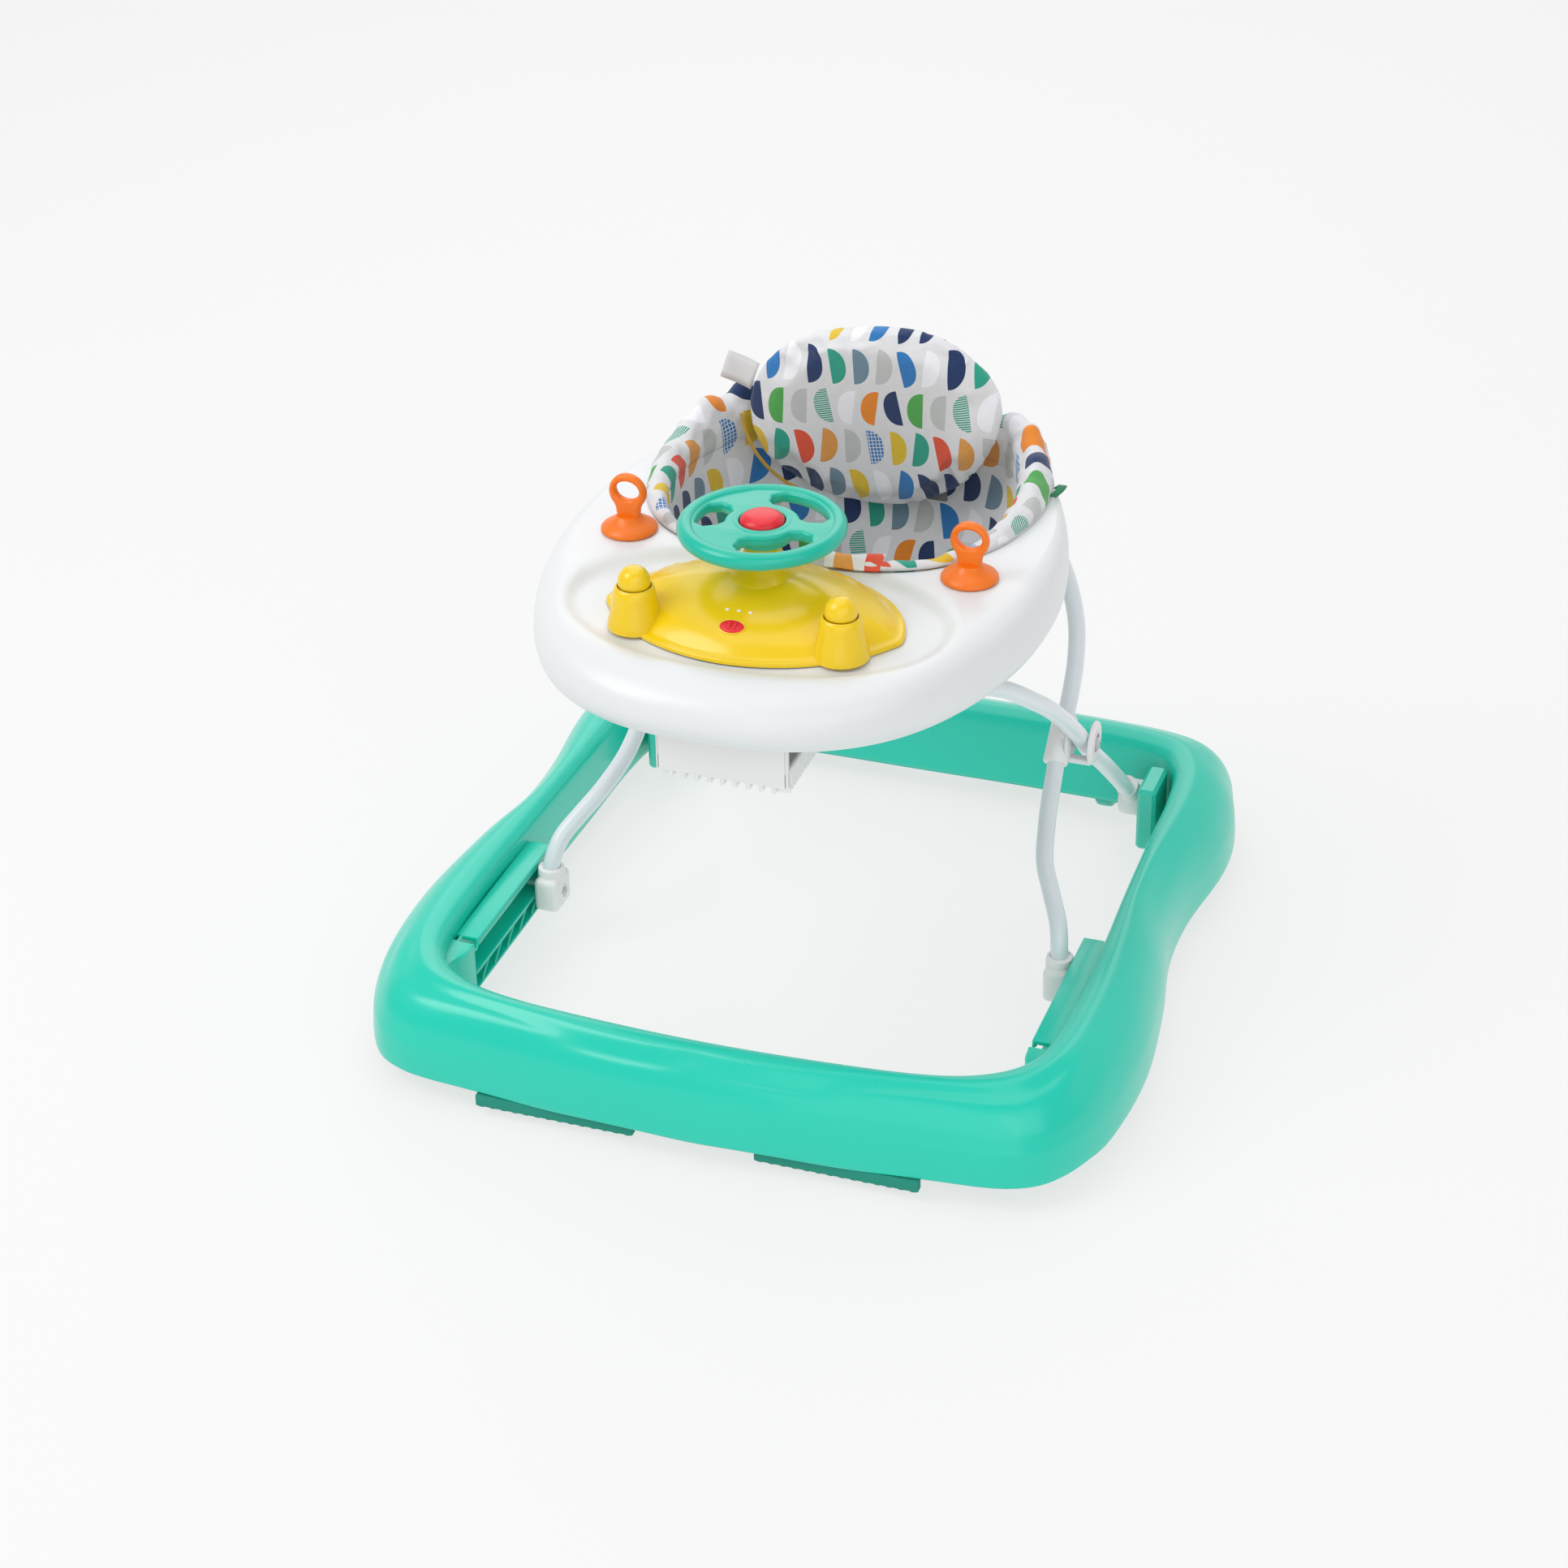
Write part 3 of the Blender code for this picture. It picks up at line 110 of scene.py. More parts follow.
# lamps of the stage: name, place, size and power
LIGHTS = (
    ("key", (-1.7, -1.2, 2.4), 1.6, 32.0), ("fill", (2.2, -1.8, 1.8), 2.4, 17.0),
    ("front", (0.6, -2.6, 1.2), 2.4, 15.0), ("top", (-0.2, 0.5, 3.0), 2.4, 19.0),
    ("behind", (-0.8, 2.2, 2.0), 2.0, 12.0),
)
CAMERA_TARGET = Vector((-0.0080, -0.075, 0.2039))
CAMERA_TURN = (19.93, 30.88, -1.139)    # azimuth, elevation and roll, in degrees
CAMERA_AWAY = 3.0
CAMERA_LENS = 82.6
FLOOR_HALF, FLOOR_FRONT, FLOOR_BEND, SWEEP_R = 14.0, -16.0, 3.0, 1.5


# ------------------------------------------------------------------- small helpers
def mix(a, b, t):
    """The value t of the way from a to b."""
    return a + (b - a) * t


def ease(t):
    """A smooth step from 0 to 1."""
    t = min(max(t, 0.0), 1.0)
    return t * t * (3.0 - 2.0 * t)


def bump_at(t, centre, width):
    """A round hill, 1 at its centre and 0 beyond its width."""
    d = abs(t - centre) / width
    return 0.0 if d >= 1.0 else (1.0 + math.cos(math.pi * d)) / 2.0


def curve_points(points, steps, closed=False):
    """A smooth line through the points."""
    pts = [Vector(p) for p in points]
    count = len(pts)
    line = []
    for i in range(count if closed else count - 1):
        if closed:
            a, b, c, d = (pts[(i + k) % count] for k in (-1, 0, 1, 2))
        else:
            a, b, c, d = (pts[min(max(i + k, 0), count - 1)] for k in (-1, 0, 1, 2))
        for k in range(steps):
            t = k / steps
            line.append(0.5 * ((2 * b) + (c - a) * t + (2 * a - 5 * b + 4 * c - d) * t * t
                               + (3 * b - a - 3 * c + d) * t ** 3))
    if not closed:
        line.append(pts[-1].copy())
    return line


def half_plan(rows, steps):
    """Both edges of half a ring, smoothed as if it went on past the middle."""
    out = []
    for column in (0, 1):
        pts = [Vector((*row[column], 0.0)) for row in rows]
        first = Vector((-pts[1].x, pts[1].y, 0.0))
        last = Vector((-pts[-2].x, pts[-2].y, 0.0))
        line = curve_points([first, *pts, last], steps)[steps:-steps]
        for p in line:
            p.x = max(p.x, 0.0)
        out.append(line)
    return list(zip(*out))


def whole_ring(half):
    """Rows of half a ring from front to rear, then back along the other side."""
    other = [[Vector((-p[0], p[1], p[2])) for p in row] for row in reversed(half[1:-1])]
    return [list(map(Vector, row)) for row in half] + other


def link(obj):
    """Put an object in the scene."""
    bpy.context.scene.collection.objects.link(obj)
    return obj


def from_bmesh(name, bm):
    """A new object from a bmesh, facing outwards."""
    bmesh.ops.recalc_face_normals(bm, faces=bm.faces)
    mesh = bpy.data.meshes.new(name)
    bm.to_mesh(mesh)
    bm.free()
    return link(bpy.data.objects.new(name, mesh))


def grid(bm, rows, round_rows=False, round_across=False):
    """Quads between rows of points, added to a bmesh."""
    made = [[bm.verts.new(p) for p in row] for row in rows]
    lines = made + made[:1] if round_rows else made
    for a, b in zip(lines, lines[1:]):
        last = len(a) if round_across else len(a) - 1
        for k in range(last):
            n = (k + 1) % len(a)
            bm.faces.new((a[k], a[n], b[n], b[k]))
    return made


def cap(bm, ring):
    """Close a ring of points with a fan of triangles."""
    middle = bm.verts.new(sum((v.co for v in ring), Vector()) / len(ring))
    for a, b in zip(ring, ring[1:] + ring[:1]):
        bm.faces.new((a, b, middle))


def sweep(bm, path, radius, sides=16, closed=False):
    """A round bar along a path; radius is one size or one for each point."""
    count = len(path)
    sizes = radius if hasattr(radius, "__len__") else [radius] * count
    normal = None
    rings = []
    for i, point in enumerate(path):
        before = path[i - 1] if i or closed else path[0]
        after = path[(i + 1) % count] if closed or i < count - 1 else path[-1]
        along = (after - before).normalized()
        if normal is None:
            guide = Vector((0, 0, 1)) if abs(along.z) < 0.9 else Vector((1, 0, 0))
            normal = along.cross(guide).normalized()
        normal = (normal - along * normal.dot(along)).normalized()
        other = along.cross(normal)
        rings.append([point + (normal * math.cos(a) + other * math.sin(a)) * sizes[i]
                      for a in (math.tau * k / sides for k in range(sides))])
    made = grid(bm, rings, round_rows=closed, round_across=True)
    if not closed:
        cap(bm, made[0])
        cap(bm, made[-1])


def lathe(bm, profile, at, axis="Z", steps=40):
    """A turned form from (radius, height) pairs about an axis through a point."""
    turn = {"Z": Matrix.Identity(3), "X": Matrix.Rotation(math.radians(90), 3, "Y")}[axis]
    rings = []
    for radius, height in profile:
        rings.append([Vector(at) + turn @ Vector((radius * math.cos(a), radius * math.sin(a), height))
                      for a in (math.tau * k / steps for k in range(steps))])
    made = grid(bm, rings, round_across=True)
    cap(bm, made[0])
    cap(bm, made[-1])


def block(bm, low, high, radius=0.001, segments=3):
    """A box with rounded edges between any two of its corners."""
    low, high = (Vector(f(a, b) for a, b in zip(low, high)) for f in (min, max))
    size = high - low
    made = bmesh.ops.create_cube(bm, size=1.0)
    for vert in made["verts"]:
        vert.co = (low + high) / 2 + Vector(vert.co[i] * size[i] for i in range(3))
    edges = list({e for v in made["verts"] for e in v.link_edges})
    room = min(size) * 0.49
    bmesh.ops.bevel(bm, geom=edges, offset=min(radius, room), segments=segments, affect="EDGES",
                    profile=0.5)


def plate(name, outlines, thickness, rounding):
    """A flat plate with holes and rounded edges, standing on z = 0 in its own frame."""
    curve = bpy.data.curves.new(name, "CURVE")
    curve.dimensions = "2D"
    curve.fill_mode = "BOTH"
    curve.extrude = thickness / 2 - rounding
    curve.bevel_depth = rounding
    curve.bevel_resolution = 3
    curve.offset = -rounding
    for outline in outlines:
        spline = curve.splines.new("POLY")
        spline.points.add(len(outline) - 1)
        for point, (x, y) in zip(spline.points, outline):
            point.co = (x, y, 0.0, 1.0)
        spline.use_cyclic_u = True
    obj = link(bpy.data.objects.new(name, curve))
    bpy.context.view_layer.update()
    mesh = bpy.data.meshes.new_from_object(obj.evaluated_get(bpy.context.evaluated_depsgraph_get()))
    bpy.data.objects.remove(obj)
    bpy.data.curves.remove(curve)
    bm = bmesh.new()
    bm.from_mesh(mesh)
    bpy.data.meshes.remove(mesh)
    bmesh.ops.remove_doubles(bm, verts=bm.verts, dist=0.00002)
    return bm


def add_to(bm, other):
    """Move everything of one bmesh into another."""
    mesh = bpy.data.meshes.new("moving")
    other.to_mesh(mesh)
    other.free()
    bm.from_mesh(mesh)
    bpy.data.meshes.remove(mesh)


def subdivide(obj, levels=2):
    """A subdivision surface on an object."""
    smooth = obj.modifiers.new("smooth", "SUBSURF")
    smooth.levels = smooth.render_levels = levels
    return obj


def settle(obj):
    """Apply every modifier of an object to its mesh."""
    bpy.context.view_layer.update()
    done = obj.evaluated_get(bpy.context.evaluated_depsgraph_get())
    mesh = bpy.data.meshes.new_from_object(done)
    old = obj.data
    obj.modifiers.clear()
    obj.data = mesh
    bpy.data.meshes.remove(old)
    return obj


def dress(obj, material, body, slot, *stands_for, angle=40):
    """Give a piece its finish, smooth its faces, and set it on its body."""
    obj.data.materials.clear()
    obj.data.materials.append(bpy.data.materials[material])
    obj.data.shade_smooth()
    obj.data.set_sharp_from_angle(angle=math.radians(angle))
    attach(obj, body)
    if stands_for:
        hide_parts(*stands_for)
    return obj


# ----------------------------------------------------------------------- materials
def wire(tree, start, end):
    """Join an output socket, or put a plain value, into an input socket."""
    if isinstance(start, bpy.types.NodeSocket):
        tree.links.new(start, end)
    else:
        end.default_value = start


def maths(tree, operation, *values):
    """A maths node fed with sockets or numbers; gives back its result."""
    node = tree.nodes.new("ShaderNodeMath")
    node.operation = operation
    for value, socket in zip(values, node.inputs):
        wire(tree, value, socket)
    return node.outputs[0]


def blend_colour(tree, factor, first, second):
    """A colour mixed by a factor from two sockets or colours."""
    node = tree.nodes.new("ShaderNodeMix")
    node.data_type = "RGBA"
    wire(tree, factor, node.inputs["Factor"])
    wire(tree, first, node.inputs[6])
    wire(tree, second, node.inputs[7])
    return node.outputs[2]


def new_group(name, inputs, outputs):
    """An empty shader node group with the named sockets."""
    tree = bpy.data.node_groups.new(name, "ShaderNodeTree")
    for way, sockets in (("INPUT", inputs), ("OUTPUT", outputs)):
        for label, kind, value in sockets:
            socket = tree.interface.new_socket(label, in_out=way, socket_type=kind)
            if value is not None:
                socket.default_value = value
    return tree, tree.nodes.new("NodeGroupInput"), tree.nodes.new("NodeGroupOutput")


COLOUR, NUMBER = "NodeSocketColor", "NodeSocketFloat"


def moulded_group():
    """Moulded plastic: faint cloudiness, a fine skin texture, paler edges and a patchy dullness."""
    tree, given, result = new_group("moulded_skin", (
        ("Colour", COLOUR, (0.5, 0.5, 0.5, 1.0)), ("Roughness", NUMBER, 0.3), ("Grain size", NUMBER, 900.0),
        ("Edge wear", NUMBER, 0.3), ("Cloudiness", NUMBER, 0.05)),
        (("Colour", COLOUR, None), ("Roughness", NUMBER, None), ("Height", NUMBER, None)))
    place = tree.nodes.new("ShaderNodeTexCoord").outputs["Object"]
    cloud = tree.nodes.new("ShaderNodeTexNoise")
    cloud.inputs["Scale"].default_value = 9.0
    cloud.inputs["Detail"].default_value = 4.0
    fine = tree.nodes.new("ShaderNodeTexNoise")
    fine.inputs["Detail"].default_value = 3.0
    scuff = tree.nodes.new("ShaderNodeTexNoise")
    scuff.inputs["Scale"].default_value = 60.0
    scuff.inputs["Detail"].default_value = 4.0
    scuff.inputs["Distortion"].default_value = 0.3
    for node in (cloud, fine, scuff):
        tree.links.new(place, node.inputs["Vector"])
    tree.links.new(given.outputs["Grain size"], fine.inputs["Scale"])
    shade = maths(tree, "MULTIPLY_ADD", maths(tree, "SUBTRACT", cloud.outputs[0], 0.5),
                  given.outputs["Cloudiness"], 1.0)
    tint = tree.nodes.new("ShaderNodeVectorMath")
    tint.operation = "SCALE"
    tree.links.new(given.outputs["Colour"], tint.inputs[0])
    tree.links.new(shade, tint.inputs["Scale"])
    geometry = tree.nodes.new("ShaderNodeNewGeometry")
    edge = tree.nodes.new("ShaderNodeMapRange")
    edge.inputs["From Min"].default_value = 0.56
    edge.inputs["From Max"].default_value = 0.68
    tree.links.new(geometry.outputs["Pointiness"], edge.inputs["Value"])
    rubbed = maths(tree, "MULTIPLY", edge.outputs[0], given.outputs["Edge wear"])
    rubbed = maths(tree, "MULTIPLY", rubbed, scuff.outputs[0])
    colour = blend_colour(tree, rubbed, tint.outputs[0], (0.92, 0.94, 0.94, 1.0))
    tree.links.new(colour, result.inputs["Colour"])
    dull = maths(tree, "MULTIPLY_ADD", scuff.outputs[0], 0.03, maths(tree, "MULTIPLY", rubbed, 0.3))
    tree.links.new(maths(tree, "ADD", given.outputs["Roughness"], maths(tree, "SUBTRACT", dull, 0.015)),
                   result.inputs["Roughness"])
    tree.links.new(maths(tree, "MULTIPLY_ADD", cloud.outputs[0], 0.3, fine.outputs[0]),
                   result.inputs["Height"])


def weave_group():
    """Plain woven cloth: two crossing sets of threads, uneven in thickness and tone, with painted shade in
    the gaps between threads.
    """
    tree, given, result = new_group("plain_weave", (
        ("Colour", COLOUR, (0.6, 0.6, 0.6, 1.0)), ("Thread", NUMBER, 0.0006), ("Slub", NUMBER, 0.12)),
        (("Colour", COLOUR, None), ("Height", NUMBER, None)))
    where = tree.nodes.new("ShaderNodeUVMap")
    where.uv_map = "print"
    split = tree.nodes.new("ShaderNodeSeparateXYZ")
    tree.links.new(where.outputs[0], split.inputs[0])
    turns = maths(tree, "DIVIDE", math.pi, given.outputs["Thread"])
    warp = maths(tree, "SINE", maths(tree, "MULTIPLY", split.outputs[0], turns))
    weft = maths(tree, "SINE", maths(tree, "MULTIPLY", split.outputs[1], turns))
    threads = maths(tree, "ADD", maths(tree, "ABSOLUTE", warp), maths(tree, "ABSOLUTE", weft))
    over = maths(tree, "MULTIPLY", warp, weft)
    slub = tree.nodes.new("ShaderNodeTexNoise")
    slub.inputs["Scale"].default_value = 160.0
    slub.inputs["Detail"].default_value = 5.0
    tree.links.new(where.outputs[0], slub.inputs["Vector"])
    height = maths(tree, "ADD", maths(tree, "MULTIPLY_ADD", over, 0.5, threads),
                   maths(tree, "MULTIPLY", slub.outputs[0], 1.2))
    shade = maths(tree, "MULTIPLY_ADD", maths(tree, "SUBTRACT", slub.outputs[0], 0.5),
                  given.outputs["Slub"], 1.0)
    # painted shade: the gaps between threads a little darker and the thread tops a little lighter, following
    # the weave's height
    shade = maths(tree, "MULTIPLY_ADD", maths(tree, "SUBTRACT", threads, 1.0), 0.03, shade)
    tint = tree.nodes.new("ShaderNodeVectorMath")
    tint.operation = "SCALE"
    tree.links.new(given.outputs["Colour"], tint.inputs[0])
    tree.links.new(shade, tint.inputs["Scale"])
    tree.links.new(tint.outputs[0], result.inputs["Colour"])
    tree.links.new(height, result.inputs["Height"])


def print_group():
    """Rows of half-moons in eleven inks on a pale ground, laid out in metres of cloth."""
    tree, given, result = new_group("half_moon_print", (
        ("Across", NUMBER, PRINT_PITCH[0]), ("Down", NUMBER, PRINT_PITCH[1]), ("Width", NUMBER, 0.0140),
        ("Half length", NUMBER, 0.0172)), (("Colour", COLOUR, None),))
    where = tree.nodes.new("ShaderNodeUVMap")
    where.uv_map = "print"
    split = tree.nodes.new("ShaderNodeSeparateXYZ")
    tree.links.new(where.outputs[0], split.inputs[0])
    down = maths(tree, "DIVIDE", split.outputs[1], given.outputs["Down"])
    row = maths(tree, "FLOOR", down)
    kind = maths(tree, "FLOORED_MODULO", row, 4.0)
    second = maths(tree, "COMPARE", kind, 1.0, 0.5)
    facing = maths(tree, "MULTIPLY_ADD", second, -2.0, 1.0)
    across = maths(tree, "DIVIDE", split.outputs[0], given.outputs["Across"])
    across = maths(tree, "SUBTRACT", across, maths(tree, "MULTIPLY", row, 0.22))
    column = maths(tree, "FLOOR", across)
    number = maths(tree, "FLOORED_MODULO", column, 6.0)
    index = maths(tree, "MULTIPLY_ADD", kind, 6.0, number)
    tilt = maths(tree, "MULTIPLY", maths(tree, "SINE", maths(tree, "MULTIPLY", index, 2.4)), 0.17)
    x = maths(tree, "MULTIPLY", maths(tree, "SUBTRACT", maths(tree, "FRACT", across), 0.5),
              given.outputs["Across"])
    y = maths(tree, "MULTIPLY", maths(tree, "SUBTRACT", maths(tree, "FRACT", down), 0.5),
              given.outputs["Down"])
    cos, sin = maths(tree, "COSINE", tilt), maths(tree, "SINE", tilt)
    a = maths(tree, "ADD", maths(tree, "MULTIPLY", x, cos), maths(tree, "MULTIPLY", y, sin))
    b = maths(tree, "SUBTRACT", maths(tree, "MULTIPLY", y, cos), maths(tree, "MULTIPLY", x, sin))
    flat = maths(tree, "ADD", maths(tree, "MULTIPLY", a, facing),
                 maths(tree, "MULTIPLY", given.outputs["Width"], 0.5))

    def reach(value, size):
        return maths(tree, "POWER", maths(tree, "ABSOLUTE", maths(tree, "DIVIDE", value, size)), 2.2)

    outline = maths(tree, "ADD", reach(flat, given.outputs["Width"]), reach(b, given.outputs["Half length"]))
    inside = maths(tree, "LESS_THAN", outline, 1.0)
    inside = maths(tree, "MULTIPLY", inside, maths(tree, "GREATER_THAN", flat, 0.0))
    inks = tree.nodes.new("ShaderNodeValToRGB")
    inks.color_ramp.interpolation = "CONSTANT"
    names = [name for line in PRINT_ROWS for name in line]
    stops = inks.color_ramp.elements
    for k, name in enumerate(names):
        stop = stops[k] if k < 2 else stops.new(k / len(names))
        stop.position = k / len(names)
        stop.color = (*INK[name], 1.0)
    place = maths(tree, "DIVIDE", maths(tree, "ADD", index, 0.5), float(len(names)))
    tree.links.new(place, inks.inputs[0])

    def drawn_lines(value, pitch, share):
        return maths(tree, "LESS_THAN", maths(tree, "FRACT", maths(tree, "DIVIDE", value, pitch)), share)

    stripes = drawn_lines(b, 0.0021, 0.38)
    squares = maths(tree, "MAXIMUM", drawn_lines(a, 0.0030, 0.22), drawn_lines(b, 0.0036, 0.2))
    striped = maths(tree, "MULTIPLY", maths(tree, "COMPARE", index, STRIPED, 0.5), stripes)
    checked = maths(tree, "MULTIPLY", maths(tree, "COMPARE", index, CHECKED, 0.5), squares)
    ink = blend_colour(tree, maths(tree, "MAXIMUM", striped, checked), inks.outputs[0], (*GROUND, 1.0))
    colour = blend_colour(tree, inside, (*GROUND, 1.0), ink)
    tree.links.new(colour, result.inputs["Colour"])


def use_group(material, name, **values):
    """Add a node group to a material and set its values."""
    node = material.node_tree.nodes.new("ShaderNodeGroup")
    node.node_tree = bpy.data.node_groups[name]
    for label, value in values.items():
        node.inputs[label.replace("_", " ")].default_value = value
    return node


def moulded(name, colour, roughness, wear=0.3, coat=0.0, metal=0.0, grain=900.0, bump=0.015, cloud=0.05,
            through=0.0):
    """A moulded, painted or plated finish."""
    material = bpy.data.materials.new(name)
    material.use_nodes = True
    tree = material.node_tree
    shader = tree.nodes["Principled BSDF"]
    skin = use_group(material, "moulded_skin", Colour=(*colour, 1.0), Roughness=roughness, Grain_size=grain,
                     Edge_wear=wear, Cloudiness=cloud)
    bump_node = tree.nodes.new("ShaderNodeBump")
    bump_node.inputs["Strength"].default_value = bump
    bump_node.inputs["Distance"].default_value = 0.0004
    tree.links.new(skin.outputs["Height"], bump_node.inputs["Height"])
    tree.links.new(skin.outputs["Colour"], shader.inputs["Base Color"])
    tree.links.new(skin.outputs["Roughness"], shader.inputs["Roughness"])
    tree.links.new(bump_node.outputs[0], shader.inputs["Normal"])
    shader.inputs["Metallic"].default_value = metal
    shader.inputs["Coat Weight"].default_value = coat
    shader.inputs["Coat Roughness"].default_value = 0.08
    shader.inputs["Subsurface Weight"].default_value = through
    shader.inputs["Subsurface Radius"].default_value = (0.004, 0.004, 0.004)
    return material


def woven(name, colour, thread, bump, printed=False):
    """A woven cloth, plain or with the half-moon print."""
    material = bpy.data.materials.new(name)
    material.use_nodes = True
    tree = material.node_tree
    shader = tree.nodes["Principled BSDF"]
    cloth = use_group(material, "plain_weave", Colour=(*colour, 1.0), Thread=thread)
    if printed:
        ink = use_group(material, "half_moon_print")
        tree.links.new(ink.outputs["Colour"], cloth.inputs["Colour"])
    bump_node = tree.nodes.new("ShaderNodeBump")
    bump_node.inputs["Strength"].default_value = bump
    bump_node.inputs["Distance"].default_value = 0.0003
    tree.links.new(cloth.outputs["Height"], bump_node.inputs["Height"])
    tree.links.new(cloth.outputs["Colour"], shader.inputs["Base Color"])
    tree.links.new(bump_node.outputs[0], shader.inputs["Normal"])
    shader.inputs["Roughness"].default_value = 0.85
    shader.inputs["Sheen Weight"].default_value = 0.25
    shader.inputs["Sheen Roughness"].default_value = 0.5
    return material


def make_materials(look):
    """Every finish of the walker."""
    moulded_group()
    weave_group()
    print_group()
    gloss = look.gloss
    moulded("green_plastic", (0.005, 0.600, 0.445), 0.38 - 0.2 * gloss, look.wear, coat=0.15, bump=0.02,
            through=0.04)
    moulded("wheel_plastic", (0.001, 0.470, 0.340), 0.38 - 0.2 * gloss, look.wear, coat=0.1)
    moulded("strip_rubber", (0.006, 0.190, 0.135), 0.60, 0.1, grain=1500.0, bump=0.25)
    moulded("tray_plastic", (0.740, 0.755, 0.765), 0.42 - 0.2 * gloss, 0.1, grain=1400.0, bump=0.03,
            through=0.03)
    moulded("fitting_plastic", (0.830, 0.820, 0.820), 0.45, 0.1, grain=1400.0, bump=0.08, through=0.05)
    moulded("painted_tube", (0.740, 0.790, 0.820), 0.28, 0.15, coat=0.3, grain=500.0, bump=0.06)
    moulded("yellow_plastic", (0.860, 0.580, 0.003), 0.34 - 0.2 * gloss, 0.2, coat=0.15, through=0.04)
    moulded("orange_plastic", (0.880, 0.180, 0.001), 0.38, 0.15, coat=0.1, through=0.05)
    moulded("red_plastic", (0.760, 0.008, 0.020), 0.34, 0.1, coat=0.1)
    moulded("red_textured", (0.760, 0.008, 0.020), 0.36, 0.1, coat=0.1, grain=420.0, bump=0.5)
    moulded("zinc_steel", (0.600, 0.600, 0.620), 0.32, 0.2, metal=1.0, grain=700.0, bump=0.15)
    moulded("black_plastic", (0.018, 0.018, 0.020), 0.45, 0.3, bump=0.15)
    moulded("circuit_board", (0.012, 0.120, 0.035), 0.35, 0.1, coat=0.4, bump=0.10, cloud=0.3)
    moulded("cell_jacket", (0.230, 0.240, 0.260), 0.30, 0.2, coat=0.4)
    moulded("white_mark", (0.900, 0.900, 0.880), 0.40, 0.0)
    woven("printed_cotton", GROUND, 0.0006, look.weave, printed=True)
    woven("mustard_piping", (0.560, 0.330, 0.030), 0.0005, look.weave)
    woven("pale_piping", (0.600, 0.600, 0.615), 0.0005, look.weave)
    woven("white_ribbon", (0.820, 0.810, 0.820), 0.0004, look.weave)
    woven("green_elastic", (0.030, 0.240, 0.110), 0.0012, 0.9)
    finishes = {
        "slide_channel": "green_plastic", "rear_pivot_block": "green_plastic",
        "release_lever": "fitting_plastic", "hinge_saddle": "fitting_plastic",
        "battery_door": "fitting_plastic", "battery_box": "black_plastic",
        "speaker": "black_plastic", "seat_back_board": "black_plastic", "circuit_board": "circuit_board",
        "battery_cell": "cell_jacket", "slide_pin": "zinc_steel", "rear_pivot_pin": "zinc_steel",
        "front_axle": "zinc_steel", "rear_axle": "zinc_steel", "cross_bolt": "zinc_steel",
        "horn_spring": "zinc_steel", "rear_caster_fork": "wheel_plastic",
        "front_caster_fork": "wheel_plastic",
    }
    for name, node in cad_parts.items():
        for start, finish in finishes.items():
            if name.startswith(start):
                node.data.materials.clear()
                node.data.materials.append(bpy.data.materials[finish])


# ------------------------------------------------------------------------ the base
# from the front centre to the rear centre of one half: inner and outer edge, as (x, y)
BASE_PLAN = (
    ((0.000, -0.2920), (0.000, -0.3375)), ((0.090, -0.2890), (0.090, -0.3350)),
    ((0.174, -0.2810), (0.195, -0.3270)), ((0.222, -0.2650), (0.262, -0.3180)),
    ((0.252, -0.2380), (0.297, -0.2910)), ((0.2625, -0.200), (0.320, -0.2300)),
    ((0.2650, -0.125), (0.327, -0.1450)), ((0.2635, -0.050), (0.318, -0.0550)),
    ((0.2610, 0.0200), (0.304, 0.0250)), ((0.2590, 0.1000), (0.303, 0.0950)),
    ((0.2570, 0.1900), (0.314, 0.1900)), ((0.2480, 0.2420), (0.305, 0.2600)),
    ((0.2150, 0.2680), (0.270, 0.3200)), ((0.1200, 0.2740), (0.140, 0.3350)),
    ((0.000, 0.2740), (0.000, 0.3375)),
)
# across the rail: fraction from the inner to the outer edge, and the height
BASE_SECTION = (
    (0.045, 0.0220), (0.0, SKIRT_Z), (0.0, 0.050), (0.004, 0.0815), (0.022, 0.0868), (0.070, 0.0905),
    (0.14, 0.0928), (0.21, 0.0942), (0.28, 0.0950), (0.35, 0.0948), (0.42, 0.0940), (0.49, 0.0925),
    (0.56, 0.0902), (0.63, 0.0872), (0.70, 0.0835), (0.77, 0.0788), (0.84, 0.0728), (0.90, 0.0655),
    (0.945, 0.0580), (0.965, 0.0530), (0.975, 0.0500), (0.990, 0.0400), (1.0, 0.0300), (1.0, SKIRT_Z),
    (0.955, 0.0220),
)


def base_relief(x, y, f, depth):
    """How far the rail's skin is pressed in by its flowing creases."""
    front = ease((-y - 0.215) / 0.06)
    wave = 0.10 * math.sin(x * 13.0 + 0.6) + 0.05 * math.sin(x * 29.0)
    groove = depth * bump_at(f, 0.52 + wave, 0.16) * front
    groove += 0.7 * depth * bump_at(f, 0.78 - 0.6 * wave, 0.11) * front * ease((0.20 - abs(x)) / 0.10)
    crease = 1.0 * depth * bump_at(f, 0.945 + 0.2 * wave, 0.030) * front
    corner = bump_at(math.hypot(abs(x) - 0.300, y + 0.245), 0.0, 0.060)
    folds = 0.9 * depth * corner * max(0.0, math.sin(f * 22.0 + y * 60.0)) * ease((f - 0.35) / 0.25)
    waist = 1.3 * depth * bump_at(y, 0.045, 0.090) * bump_at(f, 0.62, 0.34) * ease((abs(x) - 0.2) / 0.05)
    rear = 0.6 * depth * bump_at(f, 0.5, 0.2) * ease((y - 0.24) / 0.05)
    return groove + crease + folds + waist + rear


